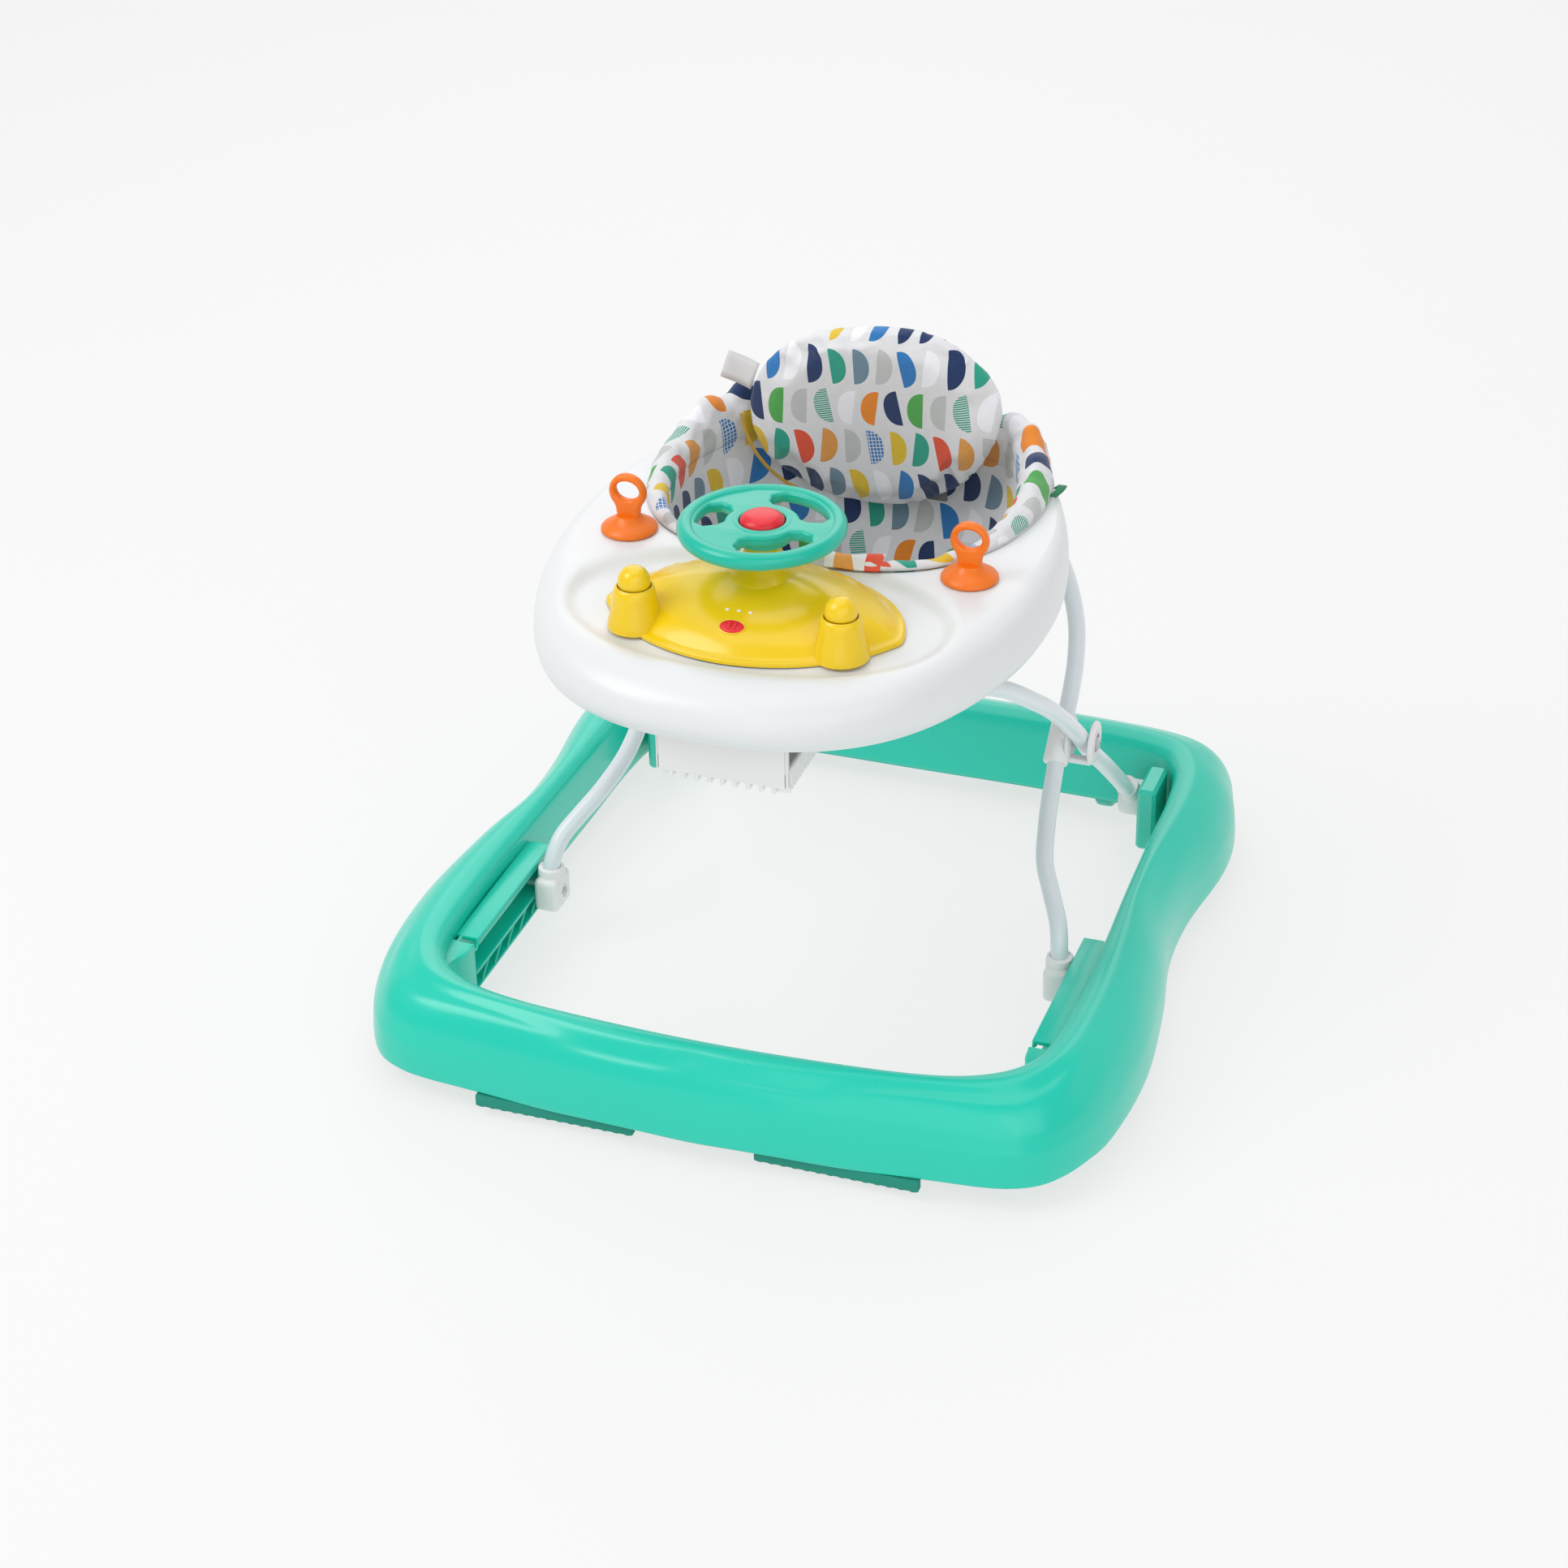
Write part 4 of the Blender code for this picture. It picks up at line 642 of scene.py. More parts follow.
def build_base(shape):
    """The base ring, the slide channels and the rubber strips."""
    half = []
    for near, far in half_plan(BASE_PLAN, 7):
        row = []
        for f, z in BASE_SECTION:
            p = mix(near, far, f)
            row.append((p.x, p.y, z - base_relief(p.x, p.y, f, shape.groove_depth)))
        half.append(row)
    bm = bmesh.new()
    grid(bm, whole_ring(half), round_rows=True)
    ring = from_bmesh("base_ring", bm)
    subdivide(ring, 1)
    dress(ring, "green_plastic", "base", "base_green", "base_shell", angle=75)
    for side, sign in SIDES.items():
        slide_track(side, sign)
        for end in ("front", "rear"):
            rubber_strip(end, side)
            wheel_and_tread(end, side)


def slide_track(side, sign):
    """The slide channel: lip rail, hooked end, slot walls and the slanting ribs below."""
    bm = bmesh.new()
    inner, outer = 0.2425, 0.2600
    block(bm, (sign * inner, -0.192, 0.0715), (sign * 0.2640, -0.034, 0.0760), 0.0012)
    block(bm, (sign * inner, -0.192, 0.0690), (sign * (inner + 0.0035), -0.034, 0.0745), 0.0008)
    block(bm, (sign * inner, -0.200, 0.0440), (sign * outer, -0.034, 0.0472), 0.0008)
    block(bm, (sign * inner, -0.200, 0.0290), (sign * outer, -0.034, 0.0312), 0.0008)
    block(bm, (sign * 0.2575, -0.204, 0.0300), (sign * outer, -0.034, 0.0755), 0.0006)
    block(bm, (sign * inner, -0.0365, 0.0300), (sign * outer, -0.0330, 0.0755), 0.0010)
    block(bm, (sign * inner, -0.2045, 0.0300), (sign * outer, -0.2010, 0.0760), 0.0010)
    near = curve_points([(0.2425, -0.2040, 0.0), (0.2440, -0.2180, 0.0), (0.2520, -0.2375, 0.0)], 5)
    far = curve_points([(0.2640, -0.2000, 0.0), (0.2610, -0.2180, 0.0), (0.2530, -0.2380, 0.0)], 5)
    grid(bm, [[Vector((sign * a.x, a.y, SKIRT_Z + 0.002)), Vector((sign * a.x, a.y, 0.0745)),
               Vector((sign * mix(a.x, b.x, 0.15), mix(a.y, b.y, 0.15), 0.0762)),
               Vector((sign * b.x, b.y, 0.0762)), Vector((sign * b.x, b.y, SKIRT_Z + 0.002))]
              for a, b in zip(near, far)], round_across=True)
    hook = curve_points([(sign * 0.2440, -0.192, 0.0745), (sign * 0.2440, -0.1935, 0.0690),
                         (sign * 0.2440, -0.1965, 0.0675), (sign * 0.2440, -0.1995, 0.0690),
                         (sign * 0.2440, -0.2025, 0.0740)], 4)
    sweep(bm, hook, 0.0013, 8)
    for k in range(6):
        y = -0.188 + 0.027 * k
        rib = [Vector((sign * 0.2440, y, 0.0312)), Vector((sign * 0.2440, y + 0.016, 0.0440))]
        sweep(bm, rib, 0.0009, 8)
        sweep(bm, [p + Vector((sign * 0.012, 0, 0)) for p in rib], 0.0009, 8)
    dress(from_bmesh(f"slide_track_{side}", bm), "green_plastic", "base", "base_green",
          f"slide_channel_{side}")


def rubber_strip(end, side):
    """A ribbed rubber strip along the skirt, where the base would rub on a step."""
    low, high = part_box(f"grip_strip_{end}_{side}")
    bm = bmesh.new()
    block(bm, low, high, 0.0014)
    span_x, span_y = high.x - low.x, high.y - low.y
    count = 14
    for k in range(count):
        t = (k + 0.5) / count
        x = mix(low.x, high.x, t)
        block(bm, (x - span_x * 0.016, low.y + span_y * 0.08, low.z - 0.0006),
              (x + span_x * 0.016, high.y - span_y * 0.08, low.z + 0.0010), 0.0005, 2)
    dress(from_bmesh(f"rubber_strip_{end}_{side}", bm), "strip_rubber", "base", "strip_rubber",
          f"grip_strip_{end}_{side}")


def wheel_and_tread(end, side):
    """A moulded wheel with a rounded tread, a dished face and a hub."""
    name = f"{end}_wheel_{side}"
    low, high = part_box(name)
    middle = (low + high) / 2
    w, r = (high.x - low.x) / 2, (high.z - low.z) / 2
    profile = [(0.0035, -w * 0.9), (0.0048, -w * 0.9), (0.0052, -w * 0.55), (r * 0.72, -w * 0.50),
               (r * 0.78, -w * 0.92), (r * 0.84, -w), (r * 0.93, -w * 0.94), (r * 0.985, -w * 0.72),
               (r, -w * 0.4), (r, 0.0)]
    profile += [(radius, -h) for radius, h in reversed(profile[:-1])]
    bm = bmesh.new()
    lathe(bm, profile, middle, "X", 48)
    dress(from_bmesh(f"tread_{end}_{side}", bm), "wheel_plastic", name, "wheel_green", name, angle=50)


# ------------------------------------------------------------------ the leg frames
def mirrored_path(half):
    """A path on the left, carried over to the right."""
    return half + [Vector((-p.x, p.y, p.z)) for p in reversed(half)]


def rear_path():
    """The middle line of the rear leg frame."""
    y, z = RACK_BAR
    return mirrored_path(curve_points([
        (0.2150, REAR_FOOT_Y - 0.002, FOOT_Z + 0.002), (0.2140, 0.200, 0.088), (0.2110, 0.150, 0.134),
        (0.2052, 0.110, 0.172), (REAR_FRAME_X, *CROSS), (0.2048, 0.064, 0.215), (0.1975, 0.018, 0.258),
        (0.1860, -0.014, 0.285), (0.1720, -0.040, 0.306), (0.1560, -0.066, 0.320),
        (0.1390, -0.094, z - 0.002), (0.1200, y + 0.012, z), (0.0980, y, z)], 6))


def front_path():
    """The middle line of the front leg frame."""
    y, z = TRAY_HINGE
    return mirrored_path(curve_points([
        (0.2300, FRONT_FOOT_Y - 0.002, FOOT_Z + 0.004), (0.2290, -0.062, 0.078), (0.2240, -0.050, 0.097),
        (0.2120, -0.030, 0.113), (0.2000, -0.008, 0.128), (0.1920, 0.026, 0.143), (0.1880, 0.056, 0.164),
        (FRONT_FRAME_X, *CROSS), (0.1850, 0.118, 0.217), (0.1835, 0.140, 0.241), (0.1780, 0.160, 0.266),
        (0.1660, 0.178, 0.292), (0.1500, 0.192, 0.314), (0.1300, y - 0.001, z - 0.002), (0.1080, y, z)], 6))


def build_legs():
    """The two bent tubes with their feet and the brackets where they cross."""
    for name, path, body, node in (("rear_tube", rear_path(), "rear_frame", "rear_leg_frame"),
                                   ("front_tube", front_path(), "front_frame", "front_leg_frame")):
        bm = bmesh.new()
        sweep(bm, path, TUBE_R, 24)
        dress(from_bmesh(name, bm), "painted_tube", body, "tube_white", node, angle=60)
    for side, sign in SIDES.items():
        front_foot(side, sign)
        rear_foot(side, sign)
        crossing(side, sign)


def screw(bm, at, radius, sign):
    """A sunk screw head with a cross slot, facing sideways."""
    profile = [(radius * 0.9, -0.0006), (radius, 0.0004), (radius * 0.8, 0.0009), (0.0004, 0.0010)]
    lathe(bm, profile, at, "X", 20)
    x, y, z = at
    for dy, dz in ((radius * 0.55, radius * 0.14), (radius * 0.14, radius * 0.55)):
        block(bm, (x + sign * 0.0006, y - dy, z - dz), (x + sign * 0.0013, y + dy, z + dz), 0.0001, 1)


def front_foot(side, sign):
    """A rounded cap on a front foot, with the screw that holds its slider."""
    y = FRONT_FOOT_Y
    bm = bmesh.new()
    block(bm, (sign * 0.2190, y - 0.0165, 0.0345), (sign * 0.2413, y + 0.0165, 0.0660), 0.0050, 5)
    lathe(bm, [(0.0120, -0.014), (0.0120, -0.004), (0.0112, 0.0), (0.0086, 0.0012), (0.0080, 0.0)],
          (sign * 0.2300, y, 0.0728), "Z", 32)
    lathe(bm, [(0.0060, -0.0012), (0.0066, -0.0002), (0.0058, 0.0004), (0.0046, -0.0016)],
          (sign * 0.2186, y, 0.0500), "X", 24)
    dress(from_bmesh(f"foot_{side}", bm), "fitting_plastic", "front_frame", "fitting_white",
          f"front_foot_cap_{side}")
    bm = bmesh.new()
    screw(bm, (sign * 0.2182, y, 0.0500), 0.0038, -sign)
    dress(from_bmesh(f"foot_screw_{side}", bm), "zinc_steel", "front_frame", "zinc_steel")


def rear_foot(side, sign):
    """The rounded eye on a rear foot."""
    x = sign * 0.21535
    bm = bmesh.new()
    w = 0.01085
    profile = [(0.0050, -w + 0.0006), (0.0060, -w), (0.0140, -w), (0.0158, -w + 0.0012),
               (0.0165, -w + 0.0034), (0.0165, 0.0)]
    profile += [(r, -h) for r, h in reversed(profile[:-1])]
    lathe(bm, profile, (x, REAR_FOOT_Y, FOOT_Z), "X", 40)
    path = [Vector((sign * 0.2148, REAR_FOOT_Y - 0.006, FOOT_Z + 0.008)),
            Vector((sign * 0.2142, REAR_FOOT_Y - 0.022, FOOT_Z + 0.0235))]
    sweep(bm, path, [0.0106, 0.0100], 24)
    dress(from_bmesh(f"rear_eye_{side}", bm), "fitting_plastic", "rear_frame", "fitting_white",
          f"rear_foot_bracket_{side}")


def crossing(side, sign):
    """The sleeve on the front tube with the two round ears that hold the rear tube."""
    y, z = CROSS
    along = Vector((0.0, 0.1505, 0.1400)).normalized()
    centre = Vector((sign * FRONT_FRAME_X, y, z))
    bm = bmesh.new()
    spots = (-0.0240, -0.0236, -0.0222, 0.0185, 0.0198, 0.0200)
    sizes = (0.0088, 0.0100, 0.0108, 0.0108, 0.0100, 0.0088)
    sweep(bm, [centre + along * t for t in spots], list(sizes), 32)
    for x_in, x_out, radius in ((0.1932, 0.1966, 0.0178), (0.2134, 0.2172, 0.0190)):
        w, c = (x_out - x_in) / 2, (x_in + x_out) / 2
        lathe(bm, [(radius - 0.0012, -w), (radius, -w + 0.0010), (radius, w - 0.0010), (radius - 0.0012, w)],
              (sign * c, y, z), "X", 48)
    w = 0.0008
    lathe(bm, [(0.0105, -w), (0.0112, w), (0.0096, w), (0.0092, -w * 0.5)], (sign * 0.2176, y, z), "X", 40)
    block(bm, (sign * 0.1945, y - 0.0085, z - 0.0190), (sign * 0.2150, y + 0.0012, z - 0.0142), 0.0016)
    block(bm, (sign * 0.1850, y - 0.0100, z - 0.0110), (sign * 0.1950, y + 0.0100, z + 0.0110), 0.0040, 4)
    dress(from_bmesh(f"crossing_{side}", bm), "fitting_plastic", "front_frame", "fitting_white",
          f"cross_bracket_{side}")
    bm = bmesh.new()
    screw(bm, (sign * 0.2190, y, z), 0.0052, sign)
    dress(from_bmesh(f"crossing_screw_{side}", bm), "zinc_steel", "front_frame", "zinc_steel")


# ------------------------------------------------------------------------ the tray
TRAY_PLAN = (
    ((0.000, -0.0660), (0.000, -0.2940)), ((0.045, -0.0655), (0.074, -0.2850)),
    ((0.088, -0.0560), (0.133, -0.2510)), ((0.121, -0.0350), (0.174, -0.1940)),
    ((0.144, 0.0020), (0.2005, -0.1150)), ((0.153, 0.0450), (0.2080, -0.0300)),
    ((0.153, 0.0900), (0.1990, 0.0500)), ((0.141, 0.1380), (0.1740, 0.1180)),
    ((0.114, 0.1740), (0.1440, 0.1760)), ((0.064, 0.1930), (0.0970, 0.2210)),
    ((0.000, 0.1970), (0.000, 0.2380)),
)
TRAY_SECTION = (
    (0.000, 0.0300), (0.000, 0.0150), (0.000, 0.0070), (0.006, 0.0025), (0.020, 0.0004), (0.045, 0.0),
    *((0.045 + 0.021 * k, 0.0) for k in range(1, 31)),
    (0.70, 0.0004), (0.76, 0.0012), (0.81, 0.0026), (0.86, 0.0046), (0.90, 0.0069),
    (0.935, 0.0102), (0.965, 0.0150), (0.985, 0.0205), (0.996, 0.0270), (1.000, 0.0335), (0.992, 0.0410),
    (0.972, 0.0480), (0.955, TRAY_TOP - TRAY_EDGE),
)


def recess_drop(x, y):
    """How far the tray's top is sunk round the toy station."""
    reach = math.hypot(x / 0.160, (y + 0.152) / 0.097)
    return RECESS_DEPTH * (1.0 - ease((reach - 0.93) / 0.09))


def build_tray():
    """The tray moulding, the toothed rack below it and the orange loops on it."""
    half = []
    for near, far in half_plan(TRAY_PLAN, 8):
        row = []
        for f, drop in TRAY_SECTION:
            p = mix(near, far, f)
            row.append((p.x, p.y, TRAY_TOP - drop - (recess_drop(p.x, p.y) if f > 0.03 else 0.0)))
        half.append(row)
    bm = bmesh.new()
    grid(bm, whole_ring(half), round_rows=True)
    tray = from_bmesh("tray", bm)
    wall = tray.modifiers.new("wall", "SOLIDIFY")
    wall.thickness = 0.0026
    wall.offset = -1.0
    subdivide(tray, 1)
    dress(tray, "tray_plastic", "tray", "tray_white", "tray_shell", angle=80)
    rack_box()
    for side, sign in SIDES.items():
        loop(side, sign)


def rack_box():
    """The white box under the tray's front, its slot and its comb of teeth."""
    low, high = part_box("rack_housing")
    bm = bmesh.new()
    wall = 0.0040
    for x in (low.x, high.x - wall):
        block(bm, (x, low.y, 0.3385), (x + wall, high.y, high.z), 0.0016)
        block(bm, (x, low.y, low.z + 0.0055), (x + wall, high.y, 0.3185), 0.0014)
        block(bm, (x, low.y, low.z + 0.0055), (x + wall, low.y + 0.0055, high.z), 0.0016)
        block(bm, (x, high.y - 0.0100, low.z + 0.0055), (x + wall, high.y, high.z), 0.0016)
    block(bm, (low.x, low.y, low.z + 0.0055), (high.x, low.y + wall, high.z), 0.0018)
    block(bm, (low.x, high.y - wall, low.z + 0.0055), (high.x, high.y, high.z), 0.0018)
    block(bm, (low.x, low.y, low.z + 0.0052), (high.x, high.y, low.z + 0.0080), 0.0012)
    count = 19
    for k in range(count):
        y = mix(low.y + 0.006, high.y - 0.006, k / (count - 1))
        for x in (low.x, high.x - 0.012):
            block(bm, (x, y - 0.0016, low.z), (x + 0.012, y + 0.0016, low.z + 0.0065), 0.0007, 2)
    for k in range(9):
        x = mix(low.x + 0.012, high.x - 0.012, k / 8)
        block(bm, (x - 0.0018, low.y, low.z), (x + 0.0018, low.y + 0.012, low.z + 0.0065), 0.0007, 2)
    dress(from_bmesh("rack_box", bm), "fitting_plastic", "tray", "fitting_white", "rack_housing")


def ellipse(rx, ry, cx, cy, steps=40):
    """Points round an ellipse."""
    return [(cx + rx * math.cos(math.tau * k / steps), cy + ry * math.sin(math.tau * k / steps))
            for k in range(steps)]


def loop(side, sign):
    """An orange loop: a round head with an oval hole, on a flared foot."""
    x, y = sign * LOOP[0], LOOP[1]
    foot = TRAY_TOP + 0.0003
    outline = [(0.0150, 0.0), (0.0112, 0.0035), (0.0098, 0.0095), (0.0104, 0.0155)]
    head = [(0.0160 * math.cos(math.radians(a)), 0.0300 + 0.0160 * math.sin(math.radians(a)))
            for a in range(-42, 223, 12)]
    left = [(-px, pz) for px, pz in reversed(outline)]
    bm = plate(f"loop_plate_{side}", [outline + head + left, ellipse(0.0103, 0.0083, 0.0, 0.0315)],
               0.0086, 0.0032)
    for vert in bm.verts:
        across, up, thick = vert.co
        vert.co = (x + across, y - thick, foot + 0.0040 + up)
    profile = [(0.0225, 0.0), (0.0235, 0.0010), (0.0234, 0.0024), (0.0222, 0.0040), (0.0190, 0.0062),
               (0.0150, 0.0084), (0.0118, 0.0108), (0.0100, 0.0135)]
    lathe(bm, profile, (x, y, foot), "Z", 48)
    dress(from_bmesh(f"loop_{side}", bm), "orange_plastic", "tray", "loop_orange", f"toy_loop_{side}",
          angle=50)


# ----------------------------------------------------------------- the toy station
COVER_PLAN = ((0.0, -0.2340), (0.050, -0.2250), (0.092, -0.2020), (0.1180, -0.1720), (0.1230, -0.1560),
              (0.112, -0.1240), (0.088, -0.0960), (0.048, -0.0740), (0.0, -0.0680))
# from its edge to its middle: fraction of the way out, and the height
COVER_SECTION = ((1.00, 0.0), (1.00, 0.0022), (0.994, 0.0032), (0.975, 0.0036), (0.945, 0.0042),
                 (0.925, 0.0058), (0.895, 0.0085), (0.84, 0.0130), (0.76, 0.0175), (0.66, 0.0222),
                 (0.56, 0.0262), (0.46, 0.0290), (0.36, 0.0312), (0.27, 0.0328), (0.18, 0.0338),
                 (0.09, 0.0343))
COVER_MIDDLE = Vector((0.0, -0.145, 0.0))


def cover_height(p, height):
    """The cover's height with the dish in front of the wheel and the embossed dimples."""
    dish = 0.0028 * bump_at(math.hypot(p.x / 2.2, p.y + 0.180), 0.0, 0.050)
    dots = 0.0
    for k in range(5):
        angle = math.radians(28 + 11 * k)
        spot = Vector((0.112 * math.cos(angle) * 0.86, -0.150 + 0.082 * math.sin(angle) * 0.86))
        dots += 0.0016 * bump_at((Vector((p.x, p.y)) - spot).length, 0.0045, 0.0030)
    return height - dish * ease(height / 0.016) + dots


def build_station():
    """The yellow cover, its buttons and switch, and the steering wheel."""
    pts = [Vector((*p, 0.0)) for p in COVER_PLAN]
    ends = [Vector((-pts[1].x, pts[1].y, 0)), *pts, Vector((-pts[-2].x, pts[-2].y, 0))]
    edge = curve_points(ends, 8)[8:-8]
    half = []
    for point in edge:
        point.x = max(point.x, 0.0)
        row = []
        for f, h in COVER_SECTION:
            p = mix(COVER_MIDDLE, point, f)
            row.append((p.x, p.y, STATION_Z + cover_height(p, h)))
        half.append(row)
    bm = bmesh.new()
    made = grid(bm, whole_ring(half), round_rows=True)
    cap(bm, [row[-1] for row in made])
    for x, y in DOMES.values():
        base = STATION_Z
        lathe(bm, [(0.0225, base + 0.0016), (0.0218, base + 0.0060), (0.0196, base + 0.0150),
                   (0.0174, base + 0.0250), (0.0170, 0.4335), (0.0162, 0.4370), (0.0150, 0.4390),
                   (0.0138, 0.4397), (0.0134, 0.4385), (0.0134, 0.4350)], (x, y, 0), "Z", 48)
    x, y = WHEEL.xy
    lathe(bm, [(0.0330, STATION_Z + 0.0300), (0.0235, STATION_Z + 0.0345), (0.0185, STATION_Z + 0.0400),
               (0.0160, STATION_Z + 0.0470), (0.0145, 0.4600), (0.0120, 0.4618)], (x, y, 0), "Z", 48)
    cover = from_bmesh("station_cover", bm)
    dress(cover, "yellow_plastic", "tray", "station_yellow", "toy_cover", angle=50)
    for side, (x, y) in DOMES.items():
        bm = bmesh.new()
        z = 0.4406
        profile = [(0.0124, z - 0.0010), (0.0129, z), (0.0130, z + 0.0030), (0.0126, z + 0.0056),
                   (0.0116, z + 0.0084), (0.0100, z + 0.0110), (0.0078, z + 0.0130), (0.0052, z + 0.0143),
                   (0.0024, z + 0.0149)]
        lathe(bm, profile, (x, y, 0), "Z", 48)
        dress(from_bmesh(f"dome_{side}", bm), "yellow_plastic", f"dome_button_{side}", "station_yellow",
              f"dome_button_{side}", angle=60)
    switch_and_marks(cover)
    steering()


def skin_height(obj, x, y):
    """The height of an object's top skin at a place."""
    bpy.context.view_layer.update()
    return obj.ray_cast(Vector((x, y, 1.0)), Vector((0.0, 0.0, -1.0)))[1].z


def switch_and_marks(cover):
    """The red slide switch with its two raised bars, the yellow rim round it, and three plain dots."""
    low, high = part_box("volume_switch")
    x, y = (low.x + high.x) / 2, (low.y + high.y) / 2
    z = skin_height(cover, x, y) + 0.0014
    slope = (skin_height(cover, x, y + 0.004) - skin_height(cover, x, y - 0.004)) / 0.008
    bm = plate("switch_top", [ellipse(0.0100, 0.0056, 0.0, 0.0)], 0.0060, 0.0014)
    bmesh.ops.translate(bm, verts=bm.verts, vec=(x, y, z - 0.0030))
    for dx in (-0.0022, 0.0022):
        low = (x + dx - 0.0014, y - 0.0036, z - 0.001)
        high = (x + dx + 0.0014, y + 0.0036, z + 0.0014)
        block(bm, low, high, 0.0008)
    for vert in bm.verts:
        vert.co.z += (vert.co.y - y) * slope
    dress(from_bmesh("slide_switch", bm), "red_plastic", "volume_switch", "button_red", "volume_switch")
    bm = bmesh.new()
    rim = [Vector((across, along, z - 0.0014 + along * slope))
           for across, along in ellipse(0.0104, 0.0062, 0.0, 0.0, 32)]
    sweep(bm, [p + Vector((x, y, 0.0)) for p in rim], 0.0008, 8, closed=True)
    dress(from_bmesh("switch_rim", bm), "yellow_plastic", "tray", "station_yellow")
    bm = bmesh.new()
    for dx in (-0.0095, 0.0, 0.0095):
        up = skin_height(cover, x + dx, y + 0.0165)
        lathe(bm, [(0.0015, -0.0020), (0.0017, 0.0001), (0.0013, 0.0003)], (x + dx, y + 0.0165, up), "Z", 20)
    dress(from_bmesh("volume_dots", bm), "white_mark", "tray", "tray_white")


def arc(inner, outer, start, end, round_off, steps=18):
    """A stretch of ring with rounded ends, angles in degrees."""
    a, b = math.radians(start), math.radians(end)
    turns = [mix(a, b, k / steps) for k in range(steps + 1)]
    slack = round_off / ((inner + outer) / 2)
    far = [(outer, t) for t in turns if a + slack <= t <= b - slack]
    near = [(inner, t) for t in reversed(turns) if a + slack <= t <= b - slack]
    shares, nearly = (0.72, 0.28), slack * 0.12
    tip = [(mix(inner, outer, share), b - nearly) for share in shares]
    tail = [(mix(inner, outer, share), a + nearly) for share in reversed(shares)]
    return [(r * math.cos(t), r * math.sin(t)) for r, t in far + tip + near + tail]


def steering():
    """The teal wheel: a stepped rim, webs with three openings, the hub and the horn."""
    line = WHEEL_R - RIM_R
    steps = 144
    path, sizes = [], []
    for k in range(steps):
        angle = math.tau * k / steps
        path.append(Vector((line * math.cos(angle), line * math.sin(angle), 0.0)))
        degrees = math.degrees(angle)
        thick = ease((degrees - 118) / 1.5) - ease((degrees - 292) / 1.5)
        sizes.append(RIM_R * (0.93 + 0.07 * thick))
    bm = bmesh.new()
    sweep(bm, path, sizes, 20, closed=True)
    web = plate("wheel_web", [ellipse(line, line, 0, 0, 72), arc(0.0300, 0.0525, 14, 100, 0.006),
                              arc(0.0300, 0.0525, -100, -14, 0.006), arc(0.0300, 0.0525, 153, 207, 0.006),
                              ellipse(0.0190, 0.0190, 0, 0)],
                0.0095, 0.0028)
    for vert in web.verts:
        reach = math.hypot(vert.co.x, vert.co.y) / line
        vert.co.z += 0.0018 * (1.0 - reach)
    add_to(bm, web)
    lathe(bm, [(0.0210, -0.0110), (0.0232, -0.0096), (0.0238, -0.0040), (0.0262, 0.0030), (0.0250, 0.0050),
               (0.0225, 0.0062), (0.0200, 0.0064), (0.0188, 0.0058), (0.0186, -0.0035)], (0, 0, 0), "Z", 56)
    bmesh.ops.translate(bm, verts=bm.verts, vec=WHEEL)
    wheel = from_bmesh("wheel", bm)
    dress(wheel, "wheel_plastic", "steering_wheel", "wheel_teal", "steering_wheel", angle=50)
    bm = bmesh.new()
    z = 0.4764
    lathe(bm, [(0.0176, z), (0.0180, z + 0.0020), (0.0176, z + 0.0042), (0.0160, z + 0.0064),
               (0.0130, z + 0.0082), (0.0090, z + 0.0092), (0.0040, z + 0.0096)], (*WHEEL.xy, 0), "Z", 56)
    dress(from_bmesh("horn", bm), "red_textured", "horn_button", "button_red", "horn_button", angle=60)


# ------------------------------------------------------------------------ the seat
SLING_PLAN = (
    ((0.000, -0.0630), (0.000, -0.0200)), ((0.045, -0.0620), (0.026, -0.0190)),
    ((0.087, -0.0530), (0.048, -0.0120)), ((0.119, -0.0320), (0.064, 0.0020)),
    ((0.141, 0.0040), (0.075, 0.0230)), ((0.150, 0.0450), (0.079, 0.0480)),
    ((0.150, 0.0900), (0.077, 0.0740)), ((0.138, 0.1370), (0.066, 0.0980)),
    ((0.112, 0.1720), (0.050, 0.1140)), ((0.063, 0.1900), (0.028, 0.1220)),
    ((0.000, 0.1940), (0.000, 0.1240)),
)
# down the wall: fraction from the mouth to the floor, and the height
SLING_SECTION = ((0.025, 0.4080), (0.030, 0.4000), (0.040, 0.3900), (0.050, 0.3750), (0.070, 0.3550),
                 (0.100, 0.3350), (0.150, 0.3100), (0.230, 0.2860), (0.350, 0.2640), (0.500, 0.2460),
                 (0.700, 0.2320), (0.880, 0.2220), (1.000, 0.2190))
PAD_HALF = ((0.0, 0.0), (0.044, 0.0080), (0.078, 0.0290), (0.100, 0.0580), (0.114, 0.0900), (0.116, 0.1160),
            (0.106, 0.1410), (0.087, 0.1640), (0.060, 0.1810), (0.030, 0.1880), (0.0, 0.1900))


def set_print(obj, place):
    """Give each face corner its place on the flat cloth, in metres."""
    layer = obj.data.uv_layers.get("print") or obj.data.uv_layers.new(name="print")
    for loop_index, corner in enumerate(obj.data.loops):
        layer.data[loop_index].uv = place(obj.data.vertices[corner.vertex_index].co)
    return obj


def around(p):
    """The angle of a point round the seat, from its rear."""
    return math.atan2(p.x, p.y - SEAT_Y)


def bucket_place(p):
    """Where a point of the sling lies on its cloth: round the wall, and up it."""
    return (around(p) * SEAT_GIRTH + PRINT_SHIFT, 0.5360 - p.z * 1.06)


def back_place(p):
    """Where a point of the seat back lies on its cloth."""
    return (p.x + PRINT_SHIFT, 0.1710 - (p.z - BACK_FOOT[1] - BACK_TWIST * p.x) / math.cos(BACK_LEAN))


